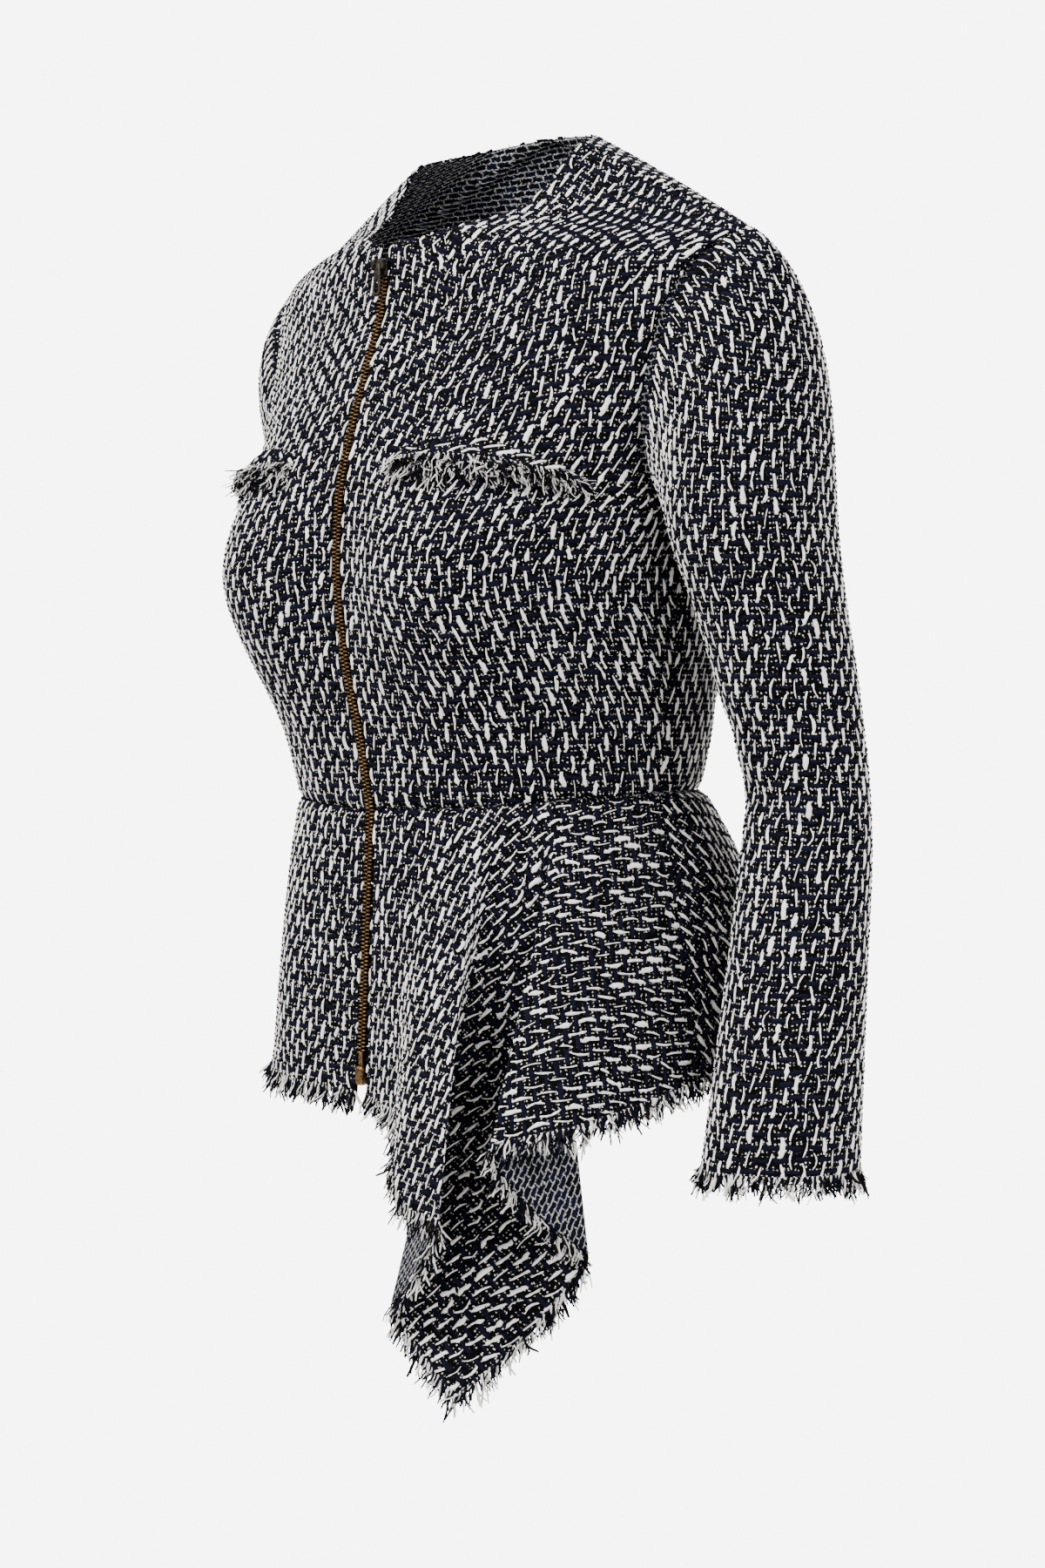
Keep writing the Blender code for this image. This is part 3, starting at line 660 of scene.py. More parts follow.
class PeplumRow(NamedTuple):
    """One line of a peplum from waist to hem: place on the waist, lean for each metre, length, bulge."""

    share: float
    lean_x: float
    lean_y: float
    length: float
    bulge: float = 0.0


class Crease(NamedTuple):
    """Soft trough (negative depth) or ridge along a line, its ends in shares across and along the panel.

    At its ends it keeps a share of its depth, and it fades to them by a power of a sine.
    """

    start: Pair
    end: Pair
    width: float
    depth: float
    end_share: float = 0.35
    fade: float = 0.7


class Edge(Enum):
    """Edges of a panel's grid."""

    FIRST_ROW = 0
    LAST_ROW = 1
    LAST_COLUMN = 2


def bilinear(values: Array, row: Array, column: Array) -> Array:
    """Values of a grid between its points, by linear steps along rows and columns.

    Args:
        values: the grid's values.
        row: places in rows.
        column: places in columns.
    Returns:
        A value for each place.
    """
    low_row = np.clip(np.floor(row).astype(int), 0, values.shape[0] - 2)
    low_column = np.clip(np.floor(column).astype(int), 0, values.shape[1] - 2)
    shape = row.shape + (1,) * (values.ndim - 2)
    r = (row - low_row).reshape(shape)
    c = (column - low_column).reshape(shape)
    low = values[low_row, low_column] * (1 - c) + values[low_row, low_column + 1] * c
    high = values[low_row + 1, low_column] * (1 - c) + values[low_row + 1, low_column + 1] * c
    return low * (1 - r) + high * r


def grid_steps(slopes: Array, flat: Array) -> Array:
    """Steps of row and column that make steps of the flat coordinates, solved from their slopes."""
    return np.linalg.solve(slopes + TINY * np.eye(2), flat[..., None])[..., 0]


@dataclass
class Cloth:
    """A panel as a grid of points with its flat coordinates in metres, across the white yarns and along them.

    Its turn is the angle from its own upright edges to the white yarns.
    """

    points: Array
    across: Array
    along: Array
    facing: float
    turn: float = 0.0
    normals: Array = field(init=False)

    def __post_init__(self) -> None:
        """Unit normals: the cross product of the steps along rows and columns."""
        down = np.gradient(self.points, axis=0)
        over = np.gradient(self.points, axis=1)
        self.normals = self.facing * unit(np.cross(down, over))

    def mirrored(self) -> "Cloth":
        """The same panel on the other side."""
        return Cloth(self.points * MIRROR, -self.across, self.along, -self.facing, -self.turn)

    def flat(self) -> Array:
        """Flat coordinates of each point, (rows, columns, 2)."""
        return np.stack((self.across, self.along), axis=-1)

    def spans(self) -> Tuple[Array, Array]:
        """Running length down each column and across each row."""
        return run_lengths(np.swapaxes(self.points, 0, 1)).T, run_lengths(self.points)

    def shaped(self, creases: Sequence[Crease], seams: Sequence[Edge]) -> "Cloth":
        """The panel with soft creases, and with its seamed edges rolled in.

        A crease is a Gaussian of the distance to its line. A roll falls off with the distance to its edge.

        Args:
            creases: troughs and ridges.
            seams: edges that roll in.
        Returns:
            The shaped panel.
        """
        down, over = self.spans()
        height, width = down[-1].mean(), over[:, -1].mean()
        rows, columns = self.points.shape[:2]
        y, x = np.meshgrid(np.linspace(0, height, rows), np.linspace(0, width, columns), indexing="ij")
        lift = np.zeros((rows, columns))
        for crease in creases:
            start = np.array(crease.start) * (width, height)
            way = np.array(crease.end) * (width, height) - start
            t = ((x - start[0]) * way[0] + (y - start[1]) * way[1]) / (way @ way)
            near = np.clip(t, 0, 1)
            distance = np.hypot(x - start[0] - near * way[0], y - start[1] - near * way[1])
            fade = crease.end_share + (1 - crease.end_share) * np.sin(np.pi * near) ** crease.fade
            lift += crease.depth * fade * np.exp(-(distance / crease.width) ** 2)
        reach = {
            Edge.FIRST_ROW: down,
            Edge.LAST_ROW: down[-1:] - down,
            Edge.LAST_COLUMN: over[:, -1:] - over,
        }
        for seam in seams:
            lift -= SEAM_ROLL * np.exp(-(reach[seam] / SEAM_REACH) ** SEAM_FALL)
        return replace(self, points=self.points + lift[..., None] * self.normals)

    def above_hem(self, height: float, columns: int) -> Tuple[Array, Array]:
        """Line at a height over the last row, found down each column, and the normals on it.

        Args:
            height: distance from the last row.
            columns: how many columns it crosses from the first.
        Returns:
            Points and normals.
        """
        down = self.spans()[0]
        rise = (down[-1:] - down)[::-1, :columns].T
        numbers = np.arange(len(self.points))[::-1]
        row = np.array([np.interp(height, column, numbers) for column in rise])
        column = np.arange(columns, dtype=float)
        return bilinear(self.points, row, column), unit(bilinear(self.normals, row, column))

    def steps(self) -> Array:
        """Change of the flat coordinates for each step of row and column, (rows, columns, 2, 2)."""
        over = np.stack((np.gradient(self.across, axis=0), np.gradient(self.across, axis=1)), axis=-1)
        up = np.stack((np.gradient(self.along, axis=0), np.gradient(self.along, axis=1)), axis=-1)
        return np.stack((over, up), axis=-2)

    def locate(self, across: Array, along: Array) -> Tuple[Array, Array, Array]:
        """Grid places of flat coordinates, by Newton's steps from the nearest of a coarse set of points.

        Args:
            across: flat places across the yarns.
            along: flat places along them.
        Returns:
            Rows, columns, and which places are on the panel.
        """
        wanted = np.stack((across, along), axis=-1)
        flat = self.flat()
        coarse = flat[::SEARCH_STRIDE, ::SEARCH_STRIDE]
        known = coarse.reshape(-1, 2)
        parts = np.array_split(wanted, max(1, len(wanted) // SEARCH_BATCH))
        nearest = np.concatenate([
            ((part[:, None] - known[None]) ** 2).sum(axis=-1).argmin(axis=1) for part in parts
        ])
        place = np.stack(np.divmod(nearest, coarse.shape[1]), axis=-1) * float(SEARCH_STRIDE)
        steps = self.steps()
        last = np.array(self.across.shape) - 1.0
        for _ in range(SEARCH_ROUNDS):
            inner = np.clip(place, 0.0, last)
            miss = wanted - bilinear(flat, inner[:, 0], inner[:, 1])
            move = grid_steps(bilinear(steps, inner[:, 0], inner[:, 1]), miss)
            place = inner + np.clip(move, -SEARCH_LONGEST, SEARCH_LONGEST)
        inner = np.clip(place, 0.0, last)
        miss = np.linalg.norm(wanted - bilinear(flat, inner[:, 0], inner[:, 1]), axis=-1)
        return inner[:, 0], inner[:, 1], miss < SEARCH_MISS

    def cut(self) -> Tuple[Pair, float]:
        """Width and length of the flat cut by its own edges, and its area as the sum of its flat quads."""
        flat = self.flat()
        first = flat[1:, 1:] - flat[:-1, :-1]
        second = flat[1:, :-1] - flat[:-1, 1:]
        area = np.abs(first[..., 0] * second[..., 1] - first[..., 1] * second[..., 0]).sum() / 2
        cos, sin = math.cos(self.turn), math.sin(self.turn)
        width = float(np.ptp(self.across * cos - self.along * sin))
        length = float(np.ptp(self.across * sin + self.along * cos))
        return (width, length), float(min(area, width * length))

    def shell(self, proud: float, thick: float) -> Piece:
        """Closed wall between two offsets of the grid, its far side with the second finish.

        Args:
            proud: height of the right side over the grid.
            thick: thickness of the wall.
        Returns:
            The wall's arrays.
        """
        rows, columns = self.points.shape[:2]
        count = rows * columns
        face = self.points + proud * self.normals
        back = face - thick * self.normals
        front_quads = grid_quads(rows, columns)
        ring = np.concatenate((
            np.arange(columns - 1), np.arange(columns - 1, count - 1, columns),
            np.arange(count - 1, count - columns, -1), np.arange(count - columns, 0, -columns),
        ))
        after = np.roll(ring, -1)
        rim = np.stack((after, ring, ring + count, after + count), axis=-1)
        back_quads = front_quads[:, ::-1] + count
        quads = np.concatenate((front_quads, back_quads, rim))
        if self.facing < 0:
            quads = quads[:, ::-1]
        chart = self.flat().reshape(-1, 2)
        finish = np.repeat((0, 1, 0), (len(front_quads), len(back_quads), len(rim)))
        vertices = np.concatenate((face.reshape(-1, 3), back.reshape(-1, 3)))
        return Piece(vertices, quads, np.concatenate((chart, chart)), None, finish)


def grain(points: Array, facing: float) -> Tuple[Array, Array]:
    """Directions of the cross yarns and of the yarns along a panel that is cut on the straight.

    The cross yarns run level, square to the normal. Over the ridge of the shoulder, where level turns round,
    they keep to the side-to-side direction instead.

    Args:
        points: the panel's grid.
        facing: sign that points its normals out.
    Returns:
        Unit directions across and along, one for each point.
    """
    over = np.gradient(points, axis=1)
    normal = facing * unit(np.cross(np.gradient(points, axis=0), over))
    level = unit(np.cross(-DOWN, normal))
    level = level * np.sign((level * over).sum())
    ridge = unit(np.array((1.0, 0.0, 0.0)) - normal[..., :1] * normal)
    share = np.clip((normal[..., 2:] - RIDGE_FROM) / RIDGE_SPAN, 0.0, 1.0)
    weft = unit(level + share * (ridge - level))
    warp = np.cross(normal, weft)
    return weft, warp * np.sign(warp[..., 2].sum())


def run_on(points: Array, way: Array, axis: int) -> Array:
    """Distance gone along a direction: the sum of a grid's steps on one axis, each by its part that way.

    Args:
        points: the grid.
        way: unit direction at each point.
        axis: axis of the steps.
    Returns:
        Sums, from zero on the first row or column.
    """
    first, second = np.swapaxes(points, 0, axis), np.swapaxes(way, 0, axis)
    parts = (np.diff(first, axis=0) * unit(second[1:] + second[:-1])).sum(axis=-1)
    sums = np.concatenate((np.zeros_like(parts[:1]), np.cumsum(parts, axis=0)))
    return np.swapaxes(sums, 0, axis)


def joined(pieces: Sequence[Piece]) -> Piece:
    """Several meshes as one.

    Args:
        pieces: meshes with the same kinds of arrays.
    Returns:
        The joined arrays.
    """
    starts = np.cumsum([0] + [len(piece.vertices) for piece in pieces])
    quads = np.concatenate([piece.quads + start for piece, start in zip(pieces, starts)])

    def whole(name: str) -> Optional[Array]:
        """One array of every mesh, end to end."""
        arrays = [getattr(piece, name) for piece in pieces]
        return None if arrays[0] is None else np.concatenate(arrays)

    return Piece(whole("vertices"), quads, whole("chart"), whole("tone"), whole("finish"))


class Crossing(Enum):
    """Places of the weave's grid: crossings topped by pale yarns or by dark ones, and the cells between."""

    PALE = 0
    DARK = 1
    CELL = 2


@dataclass(frozen=True)
class YarnForm:
    """Form of a yarn where it lies on top of the weave: an arch that dips at both ends."""

    length: float
    half_width: float
    height: float
    widths: Tuple[float, ...]
    heights: Tuple[float, ...]
    uneven: float
    lean: float
    bow: float
    slant: float
    widest: float = 1.9
    arch: Tuple[float, ...] = (0.0, 0.31, 0.69, 1.0)
    mapped: bool = False


@dataclass
class Weave:
    """The thick yarns on a panel: pale slubs along it, dark bars across it and bouclé lumps between them."""

    pitch_across: float = 0.0060
    pitch_along: float = 0.0067
    shake: float = 0.00035
    sink: float = -0.0004
    least: float = 0.05
    lengths: Pair = (0.76, 1.1)
    rises: Pair = (0.85, 1.15)
    thinner: float = -0.03
    uneven_along: float = 0.7
    slub: YarnForm = YarnForm(
        length=0.0112, half_width=0.00072, height=0.00052,
        widths=(0.62, 1.0, 0.88, 1.0, 0.62), heights=(-0.40, 0.85, 1.0, 0.85, -0.40),
        uneven=0.42, lean=0.0008, bow=0.0008, slant=0.0007, widest=2.4,
    )
    bar: YarnForm = YarnForm(
        length=0.0088, half_width=0.00130, height=0.00080,
        widths=(0.9, 1.0, 1.0, 0.9), heights=(0.0, 0.95, 0.95, 0.0),
        uneven=0.14, lean=0.0003, bow=0.0002, slant=0.0,
    )
    lump: YarnForm = YarnForm(
        length=0.0044, half_width=0.00190, height=0.00075,
        widths=(0.75, 1.0, 0.75), heights=(0.1, 1.0, 0.1),
        uneven=0.16, lean=0.0003, bow=0.0, slant=0.0, arch=(0.0, 0.5, 1.0), mapped=True,
    )

    @staticmethod
    def numbers(flat: Array, pitch: float) -> Array:
        """Whole numbers of pitches that cover a flat coordinate."""
        return np.arange(math.floor(flat.min() / pitch), math.ceil(flat.max() / pitch) + 1)

    def crossings(self, cloth: Cloth, tops: Crossing, rng: np.random.Generator) -> Tuple[Array, Array, Array]:
        """Grid places of every other crossing of the yarns, or of the cells between, each shaken a little.

        Args:
            cloth: the panel.
            tops: which crossings.
            rng: source of the shake.
        Returns:
            Rows, columns, and flat coordinates.
        """
        first = self.numbers(cloth.across, self.pitch_across)
        second = self.numbers(cloth.along, self.pitch_along)
        i, j = (index.ravel() for index in np.meshgrid(first, second, indexing="ij"))
        if tops is Crossing.CELL:
            i, j = i + 0.5, j + 0.5
        else:
            chosen = (i + j) % 2 == tops.value
            i, j = i[chosen], j[chosen]
        across = i * self.pitch_across + rng.normal(0, self.shake, len(i))
        along = j * self.pitch_along + rng.normal(0, self.shake, len(j))
        row, column, inside = cloth.locate(across, along)
        return row[inside], column[inside], np.stack((across, along), axis=-1)[inside]

    def laid(self, cloth: Cloth, row: Array, column: Array, flat: Array) -> Tuple[Array, Array]:
        """Short paths on a panel, each half of a path shortened where it would pass the panel's edge.

        Args:
            cloth: the panel.
            row: grid row of each path's middle.
            column: grid column of each path's middle.
            flat: flat steps from the middle to each station, (count, stations, 2).
        Returns:
            Points and unit normals at the stations.
        """
        t = np.linspace(-1.0, 1.0, flat.shape[1])
        move = grid_steps(bilinear(cloth.steps(), row, column)[:, None], flat)
        start = np.stack((row, column), axis=-1)[:, None]
        space = np.where(move > 0, np.array(cloth.across.shape) - 1.0 - start, start)
        room = space / np.maximum(np.abs(move), TINY)
        kept = np.clip(room.min(axis=-1), self.least, 1.0)
        before, after = kept[:, t <= 0].min(axis=1), kept[:, t >= 0].min(axis=1)
        place = start + np.where(t < 0, before[:, None], after[:, None])[..., None] * move
        rows, columns = place[..., 0], place[..., 1]
        return bilinear(cloth.points, rows, columns), unit(bilinear(cloth.normals, rows, columns))

    def yarns(
        self, cloth: Cloth, form: YarnForm, tops: Crossing, way: Pair, seed: int,
    ) -> Piece:
        """Yarns of one kind on a panel.

        Each is an arch carried along a short path on the panel. Its width and height change along the path,
        each width by chance too, and the path leans and bows by chance.

        Args:
            cloth: the panel.
            form: the yarn's form.
            tops: which crossings it tops.
            way: its direction in flat coordinates, (across, along).
            seed: seed of the chance.
        Returns:
            The yarns' arrays.
        """
        rng = np.random.default_rng(seed)
        row, column, middle = self.crossings(cloth, tops, rng)
        count, stations = len(row), len(form.widths)
        t = np.linspace(-1.0, 1.0, stations)
        half = form.length / 2 * rng.uniform(*self.lengths, (count, 1))
        lean = rng.normal(form.slant, form.lean, (count, 1))
        bow = rng.normal(0, form.bow, (count, 1))
        aside = lean * t + bow * (1 - t * t)
        ahead = half * t
        flat = np.stack((ahead * way[0] + aside * way[1], ahead * way[1] - aside * way[0]), axis=-1)
        path, normal = self.laid(cloth, row, column, flat)
        forward = unit(np.gradient(path, axis=1))
        side = np.cross(normal, forward)
        thickness = rng.lognormal(self.thinner, form.uneven, (count, 1))
        thickness = thickness * rng.lognormal(0, self.uneven_along * form.uneven, (count, stations))
        width = form.half_width * np.array(form.widths) * np.minimum(thickness, form.widest)
        height = form.height * np.array(form.heights) * rng.uniform(*self.rises, (count, 1))
        angle = np.pi * np.array(form.arch)
        sideways = width[..., None] * np.cos(angle)
        upward = self.sink + (height[..., None] - self.sink) * np.sin(angle)
        vertices = path[:, :, None] + sideways[..., None] * side[:, :, None]
        vertices = vertices + upward[..., None] * normal[:, :, None]
        ring = len(angle)
        quads = many_quads(grid_quads(stations, ring), count, stations * ring)
        shift = rng.uniform(0, 1.0, (count, 1, 1))
        tone = np.repeat(rng.uniform(0, 1, count), stations * ring)
        if form.mapped:
            square = np.array((way[1], -way[0]))
            chart = middle[:, None, None] + flat[:, :, None] + sideways[..., None] * square
        else:
            chart = np.stack(np.broadcast_arrays(shift + sideways, shift + ahead[..., None]), axis=-1)
        return Piece(vertices.reshape(-1, 3), quads, chart.reshape(-1, 2), tone)


def tubes(paths: Array, radii: Array, out: Array, sides: int) -> Tuple[Array, Array]:
    """Thin tubes along many short paths: at each point, a circle square to the path.

    Args:
        paths: points, (count, stations, 3).
        radii: a radius at each point.
        out: a direction for each path that its circles are turned to.
        sides: points in a circle.
    Returns:
        Points, (count, stations, sides, 3), and quads.
    """
    forward = unit(np.gradient(paths, axis=1))
    first = unit(np.cross(forward, out[:, None] + TUBE_NUDGE))
    second = np.cross(forward, first)
    angle = 2 * np.pi * np.arange(sides) / sides
    circle = np.cos(angle)[:, None] * first[:, :, None] + np.sin(angle)[:, None] * second[:, :, None]
    count, stations = paths.shape[:2]
    quads = many_quads(grid_quads(stations, sides, True), count, stations * sides)
    return paths[:, :, None] + radii[..., None, None] * circle, quads


def read_line(values: Array, run: Array, place: Array) -> Array:
    """Vectors of a line at places along it, by linear steps."""
    return np.stack([np.interp(place, run, values[:, axis]) for axis in range(3)], axis=-1)


@dataclass(frozen=True)
class Stitching:
    """Row of long stitches in dark thread that holds a turned hem."""

    length: float = 0.0054
    lengths: Pair = (0.8, 1.1)
    pitch: float = 0.0070
    radius: float = 0.00036
    proud: float = 0.00055
    dip: float = 0.0014
    stations: int = 6
    sides: int = 4

    def build(self, line: Array, normal: Array, seed: int) -> Piece:
        """Stitches along a line: each comes out of the cloth, lies on it and goes in, by a fourth power.

        Args:
            line: points of the line.
            normal: the cloth's normal at each point.
            seed: seed of the chance.
        Returns:
            The stitches' arrays.
        """
        rng = np.random.default_rng(seed)
        run = run_lengths(line)
        starts = np.arange(self.pitch / 2, run[-1] - self.length, self.pitch)
        t = np.linspace(0.0, 1.0, self.stations)
        place = starts[:, None] + t * self.length * rng.uniform(*self.lengths, (len(starts), 1))
        out = unit(read_line(normal, run, place))
        height = self.proud - (self.proud + self.dip) * (2 * t - 1) ** 4
        paths = read_line(line, run, place) + height[None, :, None] * out
        vertices, quads = tubes(paths, np.full(place.shape, self.radius), out[:, 0], self.sides)
        size = self.stations * self.sides
        chart = np.broadcast_to(place[..., None, None], vertices.shape[:3] + (2,)).reshape(-1, 2)
        return Piece(vertices.reshape(-1, 3), quads, chart, np.repeat(rng.uniform(0, 1, len(starts)), size))


class Shade(IntEnum):
    """Finishes of frayed threads, by their place in the palette's list."""

    PALE = 0
    NAVY = 1
    BLACK = 2


class Tuft(NamedTuple):
    """One kind of tuft: its finish, the number of its fibres and their radius."""

    finish: Shade
    fibres: int
    radius: float


@dataclass(frozen=True)
class Fringe:
    """Frayed edge: tufts of fibres where each yarn ends, pale, navy and black."""

    pitch: float = 0.0015
    length: float = 0.0078
    inset: float = 0.0025
    kinds: Tuple[Tuft, ...] = (
        Tuft(Shade.PALE, 3, 0.00070), Tuft(Shade.BLACK, 4, 0.00068),
        Tuft(Shade.PALE, 2, 0.00054), Tuft(Shade.NAVY, 4, 0.00066),
    )
    shake: float = 0.22
    spread: float = 0.20
    sway: float = 0.24
    lift: float = 0.20
    lift_mean: float = 0.15
    lift_tuft: float = 0.8
    lift_fibre: float = 0.6
    tuft_lengths: Pair = (0.65, 1.25)
    fibre_lengths: Pair = (0.8, 1.1)
    curl: float = 0.28
    droop: float = 0.12
    bend: float = 0.8
    loop: float = 0.0011
    loops: Pair = (0.5, 1.5)
    turns: float = 0.9
    uneven: float = 0.25
    taper: float = 0.40
    girth: float = 6.0
    stations: int = 5
    sides: int = 3

    def build(self, edge: Array, fall: Array, normal: Array, seed: int) -> Piece:
        """Fibres along an edge.

        A fibre is a thin tube on a parabola: it leaves the edge along its own direction and bends by chance.
        It also circles about that line, wider towards its end.

        Args:
            edge: points of the edge.
            fall: direction of the cloth at each point, past the edge.
            normal: the cloth's normal at each point.
            seed: seed of the chance.
        Returns:
            The fibres' arrays, with the shades as finishes.
        """
        rng = np.random.default_rng(seed)
        run = run_lengths(edge)
        tufts = np.arange(0.5 * self.pitch, run[-1], self.pitch)
        kind = np.arange(len(tufts)) % len(self.kinds)
        finishes, fibres, radii = (np.array(column)[kind] for column in zip(*self.kinds))
        tuft = np.repeat(np.arange(len(tufts)), fibres)
        radius = radii[tuft]
        count = len(tuft)
        place = tufts[tuft] + rng.normal(0, self.shake * self.pitch, count)
        root = read_line(edge, run, place)
        down = unit(read_line(fall, run, place))
        out = unit(read_line(normal, run, place))
        beside = np.cross(out, down)
        lean = self.sway * rng.normal(0, 1, len(tufts))[tuft] + self.spread * rng.normal(0, 1, count)
        rise = rng.normal(self.lift_mean, self.lift_tuft, len(tufts))[tuft]
        rise = self.lift * (rise + rng.normal(0, self.lift_fibre, count))
        way = unit(down + lean[:, None] * beside + rise[:, None] * out)
        length = self.length * rng.uniform(*self.tuft_lengths, len(tufts))[tuft]
        length = length * rng.uniform(*self.fibre_lengths, count)
        curl = rng.normal(0, self.curl, (count, 3)) + self.droop * DOWN
        t = np.linspace(0.0, 1.0, self.stations)
        reach = (self.inset + length)[:, None, None]
        start = root - self.inset * down
        bend = (t ** 2)[None, :, None] * curl[:, None] * self.bend
        path = start[:, None] + reach * (t[None, :, None] * way[:, None] + bend)
        phase = rng.uniform(0, 2 * np.pi, (count, 1)) + 2 * np.pi * self.turns * t
        swing = (self.loop * t)[None] * rng.uniform(*self.loops, (count, 1))
        path = path + (swing * np.cos(phase))[..., None] * beside[:, None]
        path = path + (swing * np.sin(phase))[..., None] * out[:, None]
        thin = radius[:, None] * rng.lognormal(0, self.uneven, (count, 1)) * (1 - self.taper * t ** 3)[None]
        vertices, quads = tubes(path, thin, out, self.sides)
        size = self.stations * self.sides
        shift = rng.uniform(0, 1, (count, 1, 1))
        u = shift + np.linspace(0.0, self.girth, self.sides)[None, None] * radius[:, None, None]
        v = shift + (t[None, :] * length[:, None])[..., None]
        chart = np.stack(np.broadcast_arrays(u, v), axis=-1).reshape(-1, 2)
        tone = np.repeat(rng.uniform(0, 1, count), size)
        finish = np.repeat(finishes[tuft], (self.stations - 1) * self.sides)
        return Piece(vertices.reshape(-1, 3), quads, chart, tone, finish)


